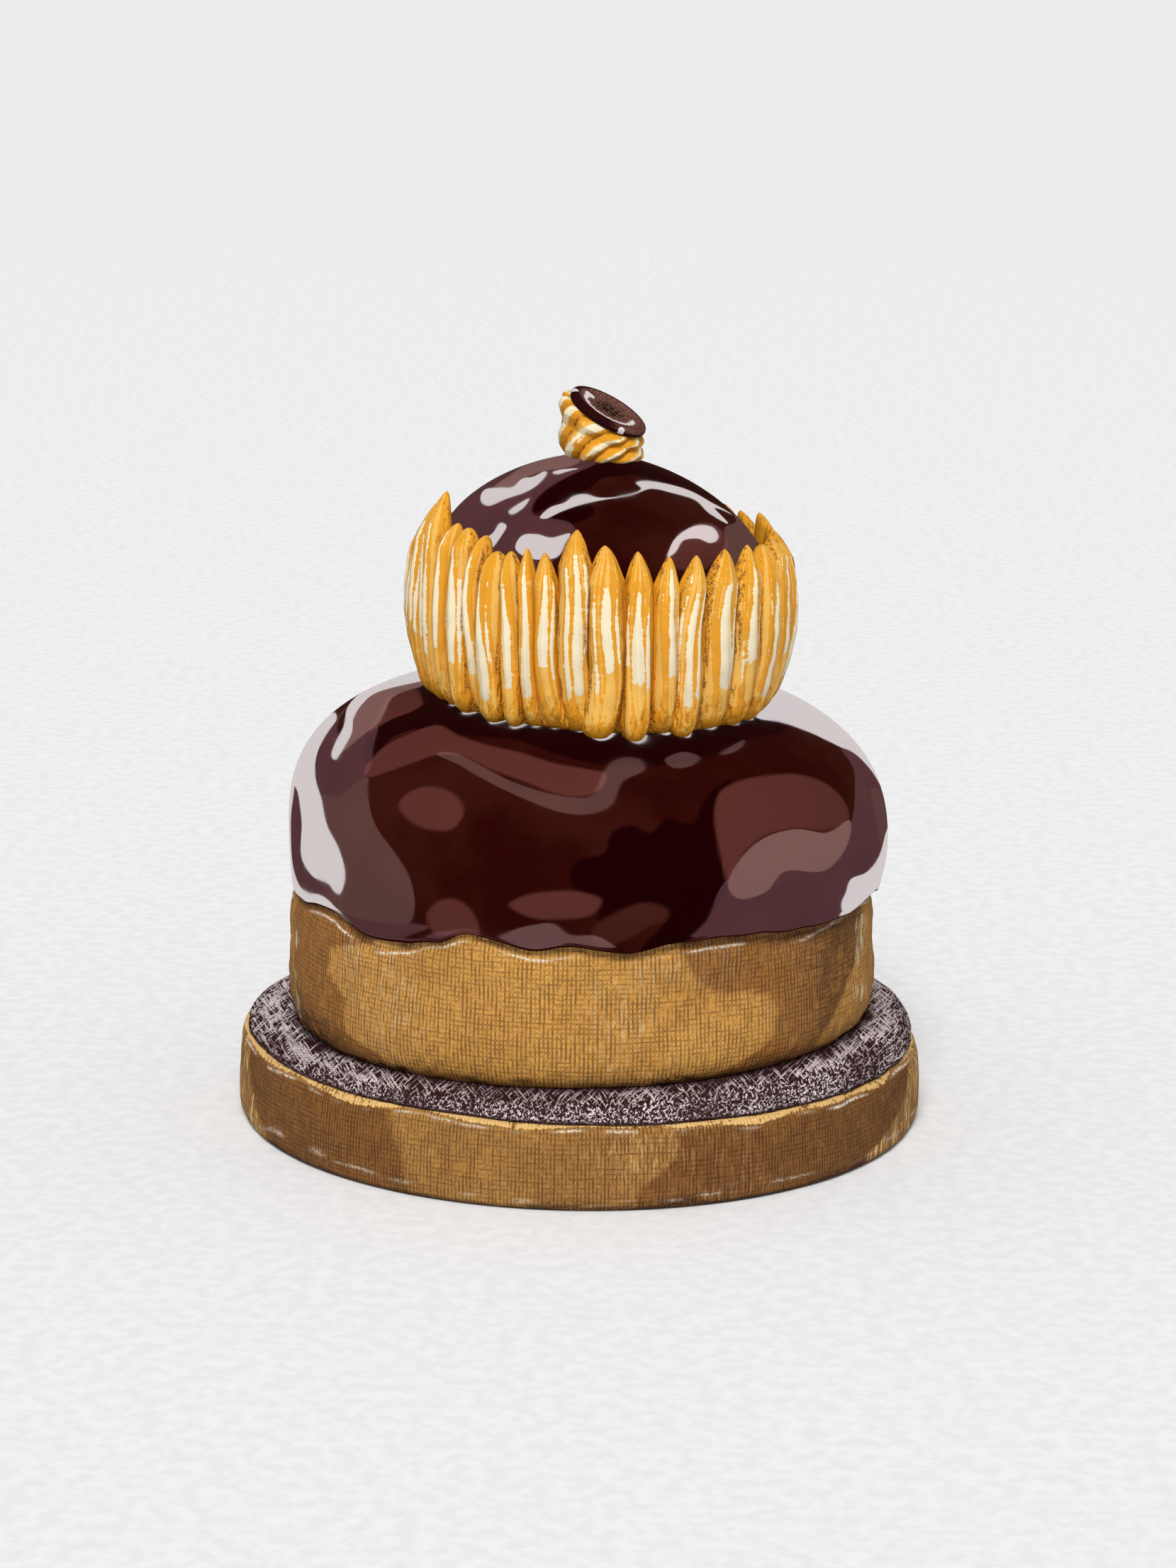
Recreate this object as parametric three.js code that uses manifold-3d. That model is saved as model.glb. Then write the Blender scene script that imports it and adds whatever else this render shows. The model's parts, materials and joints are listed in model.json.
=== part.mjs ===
// A chocolate religieuse: a large glazed choux bun on a biscuit base, with a smaller head of
// piped cream strokes, a second cap of glaze, a ridged cream tuft and a tilted chocolate button.
// Millimetres, +Z up. The origin is the middle of the base's underside, and the front faces -Y.
// Azimuth 0 is the front (-Y) and a quarter turn is the right side (+X).
import * as THREE from 'three';
import { mergeVertices } from 'three/addons/utils/BufferGeometryUtils.js';
import Module from 'manifold-3d';

const manifoldLibrary = await Module();
manifoldLibrary.setup();

// Driving dimensions of the whole pastry.
const JOINT_GAP = 0.3; // clearance between curved pieces that rest on each other
const TURN_SEGMENTS = 48; // steps round each turned piece
const BUTTON_SEGMENTS = 32;
const MERGE_DISTANCE = 1e-4;

// Biscuit base and the chocolate spread on it. The two top faces slope a little across X.
const BASE = { radius: 41.2, topRadius: 40.5, height: 9.9, slope: -0.013, foot: 40.0 };
const BASE_WALL = [ // distance inside the radius, and height above the ground
  { inset: 0.3, height: 0.5 },
  { inset: 0, height: 1.6 },
  { inset: 0.05, height: 5.0 },
];
const BASE_RIM = [ // distance outside the top radius, and depth below the rim
  { outset: 0.15, depth: 1.2 },
  { outset: -0.1, depth: 0.3 },
];
const SPREAD = { radius: 40.2, seatRadius: 39.6, top: 12.15, slope: 0.02 };
const SPREAD_EDGE = [ // distance inside the radius, and share of the way up
  { inset: 0.05, share: 0.16 },
  { inset: 0.35, share: 0.5 },
  { inset: 1.15, share: 0.8 },
  { inset: 3.6, share: 1 },
];

// Large choux bun: a nearly upright wall that stands on the chocolate.
const CHOUX = { footRadius: 33.4, bellyRadius: 35.45, shoulderRadius: 34.3 };
const CHOUX_WALL = [ // distance inside the belly, and height above the foot
  { inset: 0.85, rise: 0.7 },
  { inset: 0.2, rise: 2.2 },
  { inset: 0, rise: 4.2 },
  { inset: 0.35, rise: 10.5 },
];
const CHOUX_SHOULDER = { drop: 0.2, tuck: 0.2, rise: 1.4 }; // where it goes in under the glaze

// Dome of the large glaze, as superellipses on its left and right sides.
const DOME = {
  left: { radius: 35.15, height: 17.8, middle: 35.0, power: 2.75, undercut: 0.1 },
  right: { radius: 36.5, height: 19.1, middle: 33.7, power: 2.45, undercut: 1.2 },
  frontPower: -0.38, // the front shoulder slopes sooner than the back one
  undercutPower: 1.6,
  thickness: 1.3,
  rows: 7,
};
const SKIRT = { lip: 0.55, tuck: 0.35, insideShare: 0.8, insideRise: 1.5, middleShare: 0.55 };
const GLAZE_EDGE = [ // azimuth in degrees and height of the wavy lower edge
  [-92, 27.0], [-70, 27.7], [-57, 28.8], [-43, 27.1], [-35, 27.4], [-28, 28.3], [-21, 29.75],
  [-8, 28.5], [-1, 29.1], [8.5, 28.3], [19.5, 29.5], [34, 29.45], [43, 28.85], [60, 28.6],
  [70, 29.4], [93, 27.4], [110, 28.9], [124, 28.3], [136, 28.9], [148, 27.3], [163, 28.7],
  [180, 28.4], [201, 27.0], [218, 28.8], [236, 28.2], [252, 28.9], [268, 27.0],
];

// Head of piped cream, whose axis stands a little to the right of the base's.
const HEAD = { axisX: 1.85, rimRadius: 20.6, rimRound: 0.2, slopeStart: 60.9, slopeEnd: 65.9 };
const HEAD_WALL = [
  { radius: 19.6, height: 47.5 },
  { radius: 20.2, height: 51.5 },
  { radius: 21.4, height: 56.5 },
  { radius: 21.9, height: 61.5 },
];
const STROKES = {
  belly: 21.65, // radius of the strokes' middle lines where they bulge most
  bellyLevel: 0.54, // share of the way up a stroke
  bend: 8.5,
  halfDepth: 1.75,
  backDepth: 0.85, // depth of the side that faces the head, against the other
  overlap: 1.12, // how far each stroke's width runs into the next
  root: 0.12, // share of the length in which the foot rounds off
  flame: 0.17, // share of the length in which the tip narrows
  flamePower: 0.6,
  slimness: 0.07,
  ridge: 0.09,
  sides: 8,
  levels: [0, 0.03, 0.13, 0.45, 0.82, 0.93, 1],
  footOutside: 1.85, // where the foot meets the dome, outside its middle line
  usualTip: 71.2,
  tallLean: 0.08, // how far a tall tip leans in for each millimetre above the usual one
  leanPower: 6,
};
const FRONT_STROKES = [ // azimuths in degrees of the belly, tip and foot; lengths in millimetres
  { turn: -84.0, tipTurn: -89.0, footTurn: -87.0, tip: 72.4, reach: 0.0, width: 4.7 },
  { turn: -73.0, tipTurn: -77.5, footTurn: -77.0, tip: 74.2, reach: 0.3, width: 3.9 },
  { turn: -63.4, tipTurn: -68.4, footTurn: -68.0, tip: 75.9, reach: 0.2, width: 3.7 },
  { turn: -55.9, tipTurn: -57.5, footTurn: -59.2, tip: 72.7, reach: 0.0, width: 2.4 },
  { turn: -48.6, tipTurn: -50.0, footTurn: -49.7, tip: 72.5, reach: 0.5, width: 3.5 },
  { turn: -41.9, tipTurn: -42.5, footTurn: -42.9, tip: 72.0, reach: -0.6, width: 2.2 },
  { turn: -35.2, tipTurn: -36.8, footTurn: -36.8, tip: 70.4, reach: 0.8, width: 3.5 },
  { turn: -27.8, tipTurn: -31.8, footTurn: -28.6, tip: 70.6, reach: 0.7, width: 2.6 },
  { turn: -22.5, tipTurn: -26.3, footTurn: -22.3, tip: 71.2, reach: -0.2, width: 2.2 },
  { turn: -16.7, tipTurn: -19.8, footTurn: -15.9, tip: 70.8, reach: -0.5, width: 3.0 },
  { turn: -8.4, tipTurn: -9.3, footTurn: -7.1, tip: 73.6, reach: -0.3, width: 3.7 },
  { turn: 1.6, tipTurn: -0.1, footTurn: -1.0, tip: 71.9, reach: 1.1, width: 4.2 },
  { turn: 11.1, tipTurn: 12.0, footTurn: 10.5, tip: 71.2, reach: 1.4, width: 3.3 },
  { turn: 19.1, tipTurn: 22.1, footTurn: 21.0, tip: 70.5, reach: -0.2, width: 3.1 },
  { turn: 27.3, tipTurn: 32.0, footTurn: 27.6, tip: 70.4, reach: 0.8, width: 3.4 },
  { turn: 37.3, tipTurn: 45.0, footTurn: 38.8, tip: 70.7, reach: -0.3, width: 4.5 },
  { turn: 48.4, tipTurn: 57.0, footTurn: 50.3, tip: 70.7, reach: 0.0, width: 4.2 },
  { turn: 58.6, tipTurn: 68.0, footTurn: 59.6, tip: 70.2, reach: 0.0, width: 3.8 },
  { turn: 68.8, tipTurn: 79.0, footTurn: 68.0, tip: 70.2, reach: -0.4, width: 4.0 },
  { turn: 79.5, tipTurn: 88.0, footTurn: 77.0, tip: 70.4, reach: -0.6, width: 4.5 },
];
const BACK_STROKES = {
  count: 18,
  start: 85,
  end: 270.5,
  tip: 71.0,
  tipSpread: 0.8,
  reachSpread: 0.5,
  width: 4.0,
  sway: 2.5, // how far, in degrees, a tip or foot may stand aside of the belly
};

// Small cap of glaze, tilted a little down to the right.
const CAP = { radius: 19.1, height: 11.5, middle: 68.0, power: 1.65, slope: -0.06, rows: 5 };
const CAP_EDGE = { thickness: 1.2, skirt: 1.1, lip: 0.35, tuck: 0.45 };

// Ridged cream tuft and the chocolate button that leans on it.
const TUFT = { axisX: 1.55, ridges: 10, ridgeSteps: 4, ridgeDepth: 0.55, ridgePower: 0.8, twist: 1.2 };
const TUFT_RADII = [4.15, 4.75, 4.85, 4.45, 4.85, 4.5]; // at even steps up the tuft
const BUTTON = { radius: 5.05, thickness: 1.1, lean: 28.3, nod: 10.5 };
const BUTTON_CENTRE = new THREE.Vector3(2.3, 0, 84.38);
const BUTTON_PROFILE = [ // distance inside the radius, and height as a share of the thickness
  { inset: 0.4, level: -0.5 },
  { inset: 0.05, level: -0.2 },
  { inset: 0.02, level: 0.15 },
  { inset: 0.4, level: 0.45 },
  { inset: 1.0, level: 0.5 },
  { inset: 1.5, level: 0.33 },
];
const BUTTON_DISH = 0.25; // height of its dished middle, as a share of the thickness

const UP = new THREE.Vector3(0, 0, 1);
const { degToRad: toRadians, radToDeg: toDegrees, lerp, smoothstep } = THREE.MathUtils;

const creamMaterial = new THREE.MeshStandardMaterial({ color: 0xe7bc75, roughness: 0.6, metalness: 0 });
const pastryMaterial = new THREE.MeshStandardMaterial({ color: 0xb88649, roughness: 0.8, metalness: 0 });
const biscuitMaterial = new THREE.MeshStandardMaterial({ color: 0x9a6e3a, roughness: 0.85, metalness: 0 });
const glazeMaterial = new THREE.MeshStandardMaterial({ color: 0x2d0c0a, roughness: 0.12, metalness: 0 });
const spreadMaterial = new THREE.MeshStandardMaterial({ color: 0x4b2f30, roughness: 0.7, metalness: 0 });
const buttonMaterial = new THREE.MeshStandardMaterial({ color: 0x4a241c, roughness: 0.25, metalness: 0 });

/** A repeatable number from 0 to 1 for a whole number and a stream. */
function scatter(index, stream) {
  const value = Math.sin(index * 12.9898 + stream * 78.233) * 43758.5453;
  return value - Math.floor(value);
}

/** Blends a quantity from the left side to the right side of the pastry. */
function acrossSides(left, right, azimuth) {
  return lerp(left, right, (1 + Math.sin(azimuth)) / 2);
}

/**
 * A lathe whose profile changes with the azimuth. profileAt lists Vector2(radius, height)
 * upwards along the outside, with its first and last points on the axis.
 */
function shapedLathe(profileAt, segments) {
  const rows = profileAt(0).length;
  const geometry = new THREE.LatheGeometry(profileAt(0), segments);
  const positions = geometry.attributes.position;
  for (let step = 0; step <= segments; step += 1) {
    const azimuth = ((step % segments) / segments) * 2 * Math.PI;
    profileAt(azimuth).forEach(({ x: radius, y: height }, row) => {
      const x = radius * Math.sin(azimuth);
      const y = -radius * Math.cos(azimuth);
      positions.setXYZ(step * rows + row, x, y, height);
    });
  }
  return geometry;
}

/** Moves every vertex of a geometry with a function that changes the point it is given. */
function deform(geometry, change) {
  const positions = geometry.attributes.position;
  const point = new THREE.Vector3();
  for (let index = 0; index < positions.count; index += 1) {
    point.fromBufferAttribute(positions, index);
    change(point);
    positions.setXYZ(index, point.x, point.y, point.z);
  }
  return geometry;
}

function mesh(name, geometry, material) {
  geometry.computeVertexNormals();
  const piece = new THREE.Mesh(geometry, material);
  piece.name = name;
  return piece;
}

/** Turns a closed geometry into a manifold solid. */
function toSolid(geometry) {
  const bare = geometry.clone();
  bare.deleteAttribute('normal');
  bare.deleteAttribute('uv');
  const merged = mergeVertices(bare, MERGE_DISTANCE);
  const vertProperties = new Float32Array(merged.attributes.position.array);
  const triVerts = new Uint32Array(merged.index.array);
  return new manifoldLibrary.Manifold(new manifoldLibrary.Mesh({ numProp: 3, vertProperties, triVerts }));
}

/** The largest connected shell of a solid, which fills any hollow that joining sealed. */
function largestShell(solid) {
  return solid.decompose().reduce((best, shell) => (shell.volume() > best.volume() ? shell : best));
}

function toGeometry(solid) {
  const { vertProperties, triVerts } = solid.getMesh();
  const geometry = new THREE.BufferGeometry();
  geometry.setAttribute('position', new THREE.BufferAttribute(vertProperties, 3));
  geometry.setIndex(new THREE.BufferAttribute(triVerts, 1));
  return geometry;
}

const point = (radius, height) => new THREE.Vector2(radius, height);

// Heights of the two sloping top faces at a radius and an azimuth.
const baseTop = (radius, azimuth) => BASE.height + BASE.slope * radius * Math.sin(azimuth);
const spreadTop = (radius, azimuth) => SPREAD.top + SPREAD.slope * radius * Math.sin(azimuth);

function biscuitBase() {
  const profileAt = (azimuth) => {
    const rim = baseTop(BASE.topRadius, azimuth);
    return [
      point(0, 0),
      point(BASE.foot, 0),
      ...BASE_WALL.map(({ inset, height }) => point(BASE.radius - inset, height)),
      ...BASE_RIM.map(({ outset, depth }) => point(BASE.topRadius + outset, rim - depth)),
      point(SPREAD.seatRadius, baseTop(SPREAD.seatRadius, azimuth)),
      point(0, BASE.height),
    ];
  };
  return mesh('biscuit_base', shapedLathe(profileAt, TURN_SEGMENTS), biscuitMaterial);
}

function chocolateSpread() {
  const profileAt = (azimuth) => {
    const under = baseTop(SPREAD.seatRadius, azimuth);
    const edge = SPREAD_EDGE.map(({ inset, share }) => {
      const radius = SPREAD.radius - inset;
      return point(radius, lerp(under, spreadTop(radius, azimuth), share));
    });
    return [
      point(0, BASE.height),
      point(SPREAD.seatRadius, under),
      ...edge,
      point(CHOUX.footRadius, spreadTop(CHOUX.footRadius, azimuth)),
      point(0, SPREAD.top),
    ];
  };
  return mesh('chocolate_spread', shapedLathe(profileAt, TURN_SEGMENTS), spreadMaterial);
}

/** Size of the glaze dome at an azimuth, blended between its two sides. */
function domeAt(azimuth) {
  const size = {};
  Object.keys(DOME.left).forEach((key) => {
    size[key] = acrossSides(DOME.left[key], DOME.right[key], azimuth);
  });
  size.power += DOME.frontPower * Math.cos(azimuth);
  return size;
}

/** Height of the wavy lower edge of the large glaze, eased between its listed heights. */
function glazeEdge(azimuth) {
  const [first] = GLAZE_EDGE[0];
  const turn = first + THREE.MathUtils.euclideanModulo(toDegrees(azimuth) - first, 360);
  const next = GLAZE_EDGE.findIndex(([listed]) => listed > turn);
  const [startTurn, startHeight] = GLAZE_EDGE[next - 1];
  const [endTurn, endHeight] = GLAZE_EDGE[next];
  return lerp(startHeight, endHeight, smoothstep(turn, startTurn, endTurn));
}

/** Rows of a superellipse dome from its equator up to its top on the axis. */
function domeRows(radius, height, middle, power, rows) {
  return Array.from({ length: rows + 1 }, (_, row) => {
    const angle = (row / rows) * (Math.PI / 2);
    const outward = row === rows ? 0 : Math.cos(angle) ** (2 / power);
    return point(radius * outward, middle + height * Math.sin(angle) ** (2 / power));
  });
}

/** Rows of the dome at a depth below the surface of the glaze. */
function domeRowsBelow(depth, azimuth) {
  const { radius, height, middle, power } = domeAt(azimuth);
  return domeRows(radius - depth, height - depth, middle, power, DOME.rows);
}

/** Height of the glaze dome's surface at a place near its top. */
function domeSurface(x, y) {
  const { radius, height, middle, power } = domeAt(Math.atan2(x, -y));
  return middle + height * (1 - (Math.hypot(x, y) / radius) ** power) ** (1 / power);
}

/** Radius of the glaze's outside between its lower edge and the middle of the dome. */
function skirtRadius(share, azimuth) {
  const { radius, undercut } = domeAt(azimuth);
  return radius - undercut * share ** DOME.undercutPower;
}

function largeChoux() {
  const innerDepth = DOME.thickness + JOINT_GAP;
  const profileAt = (azimuth) => {
    const foot = spreadTop(CHOUX.footRadius, azimuth);
    const edge = glazeEdge(azimuth);
    const neck = skirtRadius(SKIRT.insideShare, azimuth) - innerDepth - CHOUX_SHOULDER.tuck;
    return [
      point(0, SPREAD.top),
      point(CHOUX.footRadius, foot),
      ...CHOUX_WALL.map(({ inset, rise }) => point(CHOUX.bellyRadius - inset, foot + rise)),
      point(CHOUX.shoulderRadius, edge - CHOUX_SHOULDER.drop),
      point(neck, edge + CHOUX_SHOULDER.rise),
      ...domeRowsBelow(innerDepth, azimuth),
    ];
  };
  return mesh('large_choux', shapedLathe(profileAt, TURN_SEGMENTS), pastryMaterial);
}

function largeGlaze() {
  const profileAt = (azimuth) => {
    const { middle } = domeAt(azimuth);
    const edge = glazeEdge(azimuth);
    const inside = domeRowsBelow(DOME.thickness, azimuth).reverse();
    const outside = domeRowsBelow(0, azimuth);
    const underside = edge + JOINT_GAP / 2;
    const halfWay = lerp(middle, edge, SKIRT.middleShare);
    return [
      ...inside,
      point(skirtRadius(SKIRT.insideShare, azimuth) - DOME.thickness, edge + SKIRT.insideRise),
      point(CHOUX.shoulderRadius + JOINT_GAP, underside),
      point(skirtRadius(1, azimuth) - SKIRT.tuck, edge),
      point(skirtRadius(1, azimuth), edge + SKIRT.lip),
      point(skirtRadius(SKIRT.middleShare, azimuth), halfWay),
      ...outside,
    ];
  };
  return mesh('large_glaze', shapedLathe(profileAt, TURN_SEGMENTS), glazeMaterial);
}

/** The space that the glaze dome takes up, with the joint gap above it, as a solid. */
function domeClearance() {
  const profileAt = (azimuth) => [
    point(0, SPREAD.top),
    point(domeAt(azimuth).radius, SPREAD.top),
    ...domeRowsBelow(-JOINT_GAP, azimuth),
  ];
  return toSolid(shapedLathe(profileAt, TURN_SEGMENTS));
}

/** Rows of the small cap at a depth below its surface, in the head's own axis. */
function capRowsBelow(depth) {
  return domeRows(CAP.radius - depth, CAP.height - depth, CAP.middle, CAP.power, CAP.rows);
}

/** Moves a piece from the head's own axis to its place, with the cap's slope from a height up. */
function placeOnHead(geometry) {
  return deform(geometry, (vertex) => {
    vertex.z += CAP.slope * vertex.x * smoothstep(vertex.z, HEAD.slopeStart, HEAD.slopeEnd);
    vertex.x += HEAD.axisX;
  });
}

function smallGlaze() {
  const { thickness, skirt, lip, tuck } = CAP_EDGE;
  const foot = CAP.middle - skirt;
  const profile = [
    ...capRowsBelow(thickness).reverse(),
    point(CAP.radius - thickness, foot),
    point(CAP.radius - tuck, foot),
    point(CAP.radius, foot + lip),
    ...capRowsBelow(0),
  ];
  return mesh('small_glaze', placeOnHead(shapedLathe(() => profile, TURN_SEGMENTS)), glazeMaterial);
}

/** The plain body of the head that carries the strokes, with a step that seats the small cap. */
function headCore() {
  const innerDepth = CAP_EDGE.thickness + JOINT_GAP;
  const stepHeight = CAP.middle - CAP_EDGE.skirt - JOINT_GAP;
  const profile = [
    point(0, HEAD_WALL[0].height),
    ...HEAD_WALL.map(({ radius, height }) => point(radius, height)),
    point(HEAD.rimRadius, stepHeight - HEAD.rimRound),
    point(CAP.radius + JOINT_GAP, stepHeight),
    point(CAP.radius - innerDepth, stepHeight),
    ...capRowsBelow(innerDepth),
  ];
  return toSolid(placeOnHead(shapedLathe(() => profile, TURN_SEGMENTS)));
}

/** The strokes at the back, evenly set with a little unevenness. */
function backStrokes() {
  const { count, start, end, width, sway } = BACK_STROKES;
  return Array.from({ length: count }, (_, index) => {
    const wobble = (stream) => 2 * scatter(index + 1, stream) - 1;
    const turn = lerp(start, end, (index + 0.5) / count) + wobble(1);
    const tipTurn = turn + sway * wobble(2);
    const footTurn = turn + sway * wobble(4);
    const tip = BACK_STROKES.tip + BACK_STROKES.tipSpread * wobble(3);
    const reach = BACK_STROKES.reachSpread * wobble(5);
    return { turn, tipTurn, footTurn, tip, reach, width };
  });
}

/** How full a stroke is at a level from its foot, 0, to its tip, 1. */
function strokeFullness(level) {
  const root = Math.sqrt(1 - (1 - Math.min(level / STROKES.root, 1)) ** 2);
  const flame = Math.min(1, (1 - level) / STROKES.flame) ** STROKES.flamePower;
  return root * flame * (1 - STROKES.slimness * (1 - Math.sin(level * Math.PI)));
}

/** One piped stroke: a ridged flame of cream that lies up the side of the head. */
function pipedStroke({ turn, tipTurn, footTurn, tip, reach, width }) {
  const { belly, bellyLevel, bend, halfDepth, backDepth, overlap, sides, leanPower } = STROKES;
  const azimuthAt = (level) => {
    const end = level > bellyLevel ? tipTurn : footTurn;
    const length = level > bellyLevel ? 1 - bellyLevel : bellyLevel;
    return toRadians(turn + (end - turn) * ((level - bellyLevel) / length) ** 2);
  };
  const lean = STROKES.tallLean * Math.max(tip - STROKES.usualTip, 0);
  const middleAt = (level) => belly - bend * (level - bellyLevel) ** 2 + reach * (1 - level) ** 3;
  const footRadius = middleAt(0) + STROKES.footOutside;
  const footX = HEAD.axisX + footRadius * Math.sin(azimuthAt(0));
  const foot = domeSurface(footX, -footRadius * Math.cos(azimuthAt(0)));
  const profileAt = (angle) => STROKES.levels.map((level) => {
    const ridge = 1 + STROKES.ridge * Math.cos(angle * (sides / 2));
    return point(strokeFullness(level) * ridge, level);
  });
  return deform(shapedLathe(profileAt, sides), (vertex) => {
    const level = vertex.z;
    const depth = vertex.y > 0 ? halfDepth * backDepth : halfDepth;
    const outward = middleAt(level) - lean * level ** leanPower - vertex.y * depth;
    vertex.set((vertex.x * width * overlap) / 2, -outward, lerp(foot, tip, level));
    vertex.applyAxisAngle(UP, azimuthAt(level));
    vertex.x += HEAD.axisX;
  });
}

function creamHead() {
  const strokes = [...FRONT_STROKES, ...backStrokes()];
  const head = strokes.reduce((body, stroke) => body.add(toSolid(pipedStroke(stroke))), headCore());
  const body = largestShell(head.subtract(domeClearance()));
  return mesh('cream_head', toGeometry(body), creamMaterial);
}

/** Height of the small cap's surface at a place on it. */
function capSurface(x, y) {
  const aside = x - HEAD.axisX;
  const share = 1 - (Math.hypot(aside, y) / CAP.radius) ** CAP.power;
  return CAP.middle + CAP.height * share ** (1 / CAP.power) + CAP.slope * aside;
}

// The button's own frame: its Z axis is the way its face looks.
const buttonTurn = new THREE.Euler(toRadians(BUTTON.nod), toRadians(BUTTON.lean), 0, 'YXZ');

/** Height of the button's underside, less the joint gap, at a place. */
function buttonUnderside(x, y) {
  const normal = UP.clone().applyEuler(buttonTurn);
  const under = BUTTON_CENTRE.clone().addScaledVector(normal, -BUTTON.thickness / 2);
  return under.z - JOINT_GAP - (normal.x * (x - under.x) + normal.y * (y - under.y)) / normal.z;
}

function creamTuft() {
  const { axisX, ridges, ridgeSteps, ridgeDepth, ridgePower, twist } = TUFT;
  const profileAt = (azimuth) => {
    const ridge = ridgeDepth * (Math.abs(Math.cos((azimuth * ridges) / 2)) ** ridgePower - 0.5);
    const rows = TUFT_RADII.map((radius, row) => point(radius + ridge, row / (TUFT_RADII.length - 1)));
    return [point(0, 0), ...rows, point(0, 1)];
  };
  return deform(shapedLathe(profileAt, ridges * ridgeSteps), (vertex) => {
    const level = vertex.z;
    vertex.applyAxisAngle(UP, twist * level);
    vertex.x += axisX;
    const foot = capSurface(vertex.x, vertex.y) + JOINT_GAP;
    vertex.z = lerp(foot, buttonUnderside(vertex.x, vertex.y), level);
  });
}

function chocolateButton() {
  const { radius, thickness } = BUTTON;
  const profile = [
    point(0, -thickness / 2),
    ...BUTTON_PROFILE.map(({ inset, level }) => point(radius - inset, level * thickness)),
    point(0, BUTTON_DISH * thickness),
  ];
  const piece = mesh('chocolate_button', shapedLathe(() => profile, BUTTON_SEGMENTS), buttonMaterial);
  piece.rotation.copy(buttonTurn);
  piece.position.copy(BUTTON_CENTRE);
  return piece;
}

const religieuse = new THREE.Group();
religieuse.add(biscuitBase());
religieuse.add(chocolateSpread());
religieuse.add(largeChoux());
religieuse.add(largeGlaze());
religieuse.add(creamHead());
religieuse.add(smallGlaze());
religieuse.add(mesh('cream_tuft', creamTuft(), creamMaterial));
religieuse.add(chocolateButton());

export default religieuse;
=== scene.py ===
"""A chocolate religieuse: glazed choux bun on a biscuit base, with a head of piped cream.

Lengths are in millimetres until a mesh is made, and azimuth 0 is the front (-Y), a quarter
turn the right side (+X), as in the part's source, whose driving dimensions are repeated here.
"""
import json
import math

import bpy
import numpy as np
from mathutils import Matrix, Quaternion, Vector
from mathutils.geometry import delaunay_2d_cdt

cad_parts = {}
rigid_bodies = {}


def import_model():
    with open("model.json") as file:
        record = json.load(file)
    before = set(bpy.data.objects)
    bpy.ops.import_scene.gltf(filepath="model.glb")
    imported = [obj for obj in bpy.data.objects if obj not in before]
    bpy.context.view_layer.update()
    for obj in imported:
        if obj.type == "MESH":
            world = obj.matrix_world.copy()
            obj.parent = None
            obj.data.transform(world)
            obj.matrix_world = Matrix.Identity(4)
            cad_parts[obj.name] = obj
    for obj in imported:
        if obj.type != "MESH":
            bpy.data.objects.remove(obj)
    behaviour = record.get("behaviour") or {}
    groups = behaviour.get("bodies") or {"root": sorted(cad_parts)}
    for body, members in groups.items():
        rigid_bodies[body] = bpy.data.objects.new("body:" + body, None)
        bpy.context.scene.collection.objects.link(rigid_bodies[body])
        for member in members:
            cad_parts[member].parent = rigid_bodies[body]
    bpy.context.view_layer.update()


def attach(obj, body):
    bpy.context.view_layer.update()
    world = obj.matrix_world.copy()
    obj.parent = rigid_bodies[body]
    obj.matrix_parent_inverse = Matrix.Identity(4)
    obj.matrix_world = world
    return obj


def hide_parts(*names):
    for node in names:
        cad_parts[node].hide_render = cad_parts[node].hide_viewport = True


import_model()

MM = 0.001
TURN = 2 * math.pi
MIX_COLOURS = (6, 7)  # a Mix node's two colour inputs
MIX_RESULT = 2

# The photograph's view, and the light, of which the key's place is in metres.
CAMERA_PLACE = (0.552, -450.0, 145.05)
CAMERA_TARGET = (0.552, 0.0, 39.598)
CAMERA_LENS = 88.685
CAMERA_ROLL = math.radians(0.8)
KEY_LIGHT = dict(place=(-0.06, -0.64, 0.77), strength=2.6, spread=math.radians(24))
SOFT_LIGHT = (0.42, 0.42, 0.43, 1)
DIM_ROOM = (0.045, 0.016, 0.012, 1)
BACKDROP = (0.83, 0.83, 0.835, 1)

# Colours of the materials. For a crust, also how many threads of its cloth imprint go round.
# A crust's pale colour is that of its dusty streaks, and also of the painted highlights along its edges.
BISCUIT_CRUST = dict(
    light=(0.46, 0.23, 0.055), mid=(0.375, 0.176, 0.040), thread=(0.12, 0.045, 0.015),
    pale=(0.84, 0.53, 0.20), threads_around=590,
)
CHOUX_CRUST = dict(
    light=(0.68, 0.35, 0.076), mid=(0.58, 0.28, 0.055), thread=(0.16, 0.062, 0.02),
    pale=(0.70, 0.55, 0.31), threads_around=440,
)
WEFT_PITCH = 0.56
# Colour of a crust's pale lines: painted highlight lines under the biscuit's top edge and under the glaze's
# lip, and pale scribbles near the biscuit's foot.
CRUST_PALE_LINES = (0.90, 0.80, 0.64)
# Tint that darkens a crust: painted shade on its left and right sides, and browned patches at the back.
SHADE_AND_TOAST_TINT = (0.62, 0.53, 0.49)
SPREAD_COLOURS = dict(dark=(0.045, 0.013, 0.014), bloom=(0.78, 0.66, 0.67))
# The glaze's red colour is for painted reflections, and its thick one for nearly black painted shade.
GLAZE_COLOURS = dict(
    dark=(0.020, 0.0015, 0.0010), cloud=(0.036, 0.0060, 0.0038),
    thick=(0.0095, 0.0002, 0.0006), painted_red_reflection=(0.088, 0.024, 0.019),
)
GLAZE_IOR = 1.46
GLAZE_TINT = (1.0, 0.62, 0.58)
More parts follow.
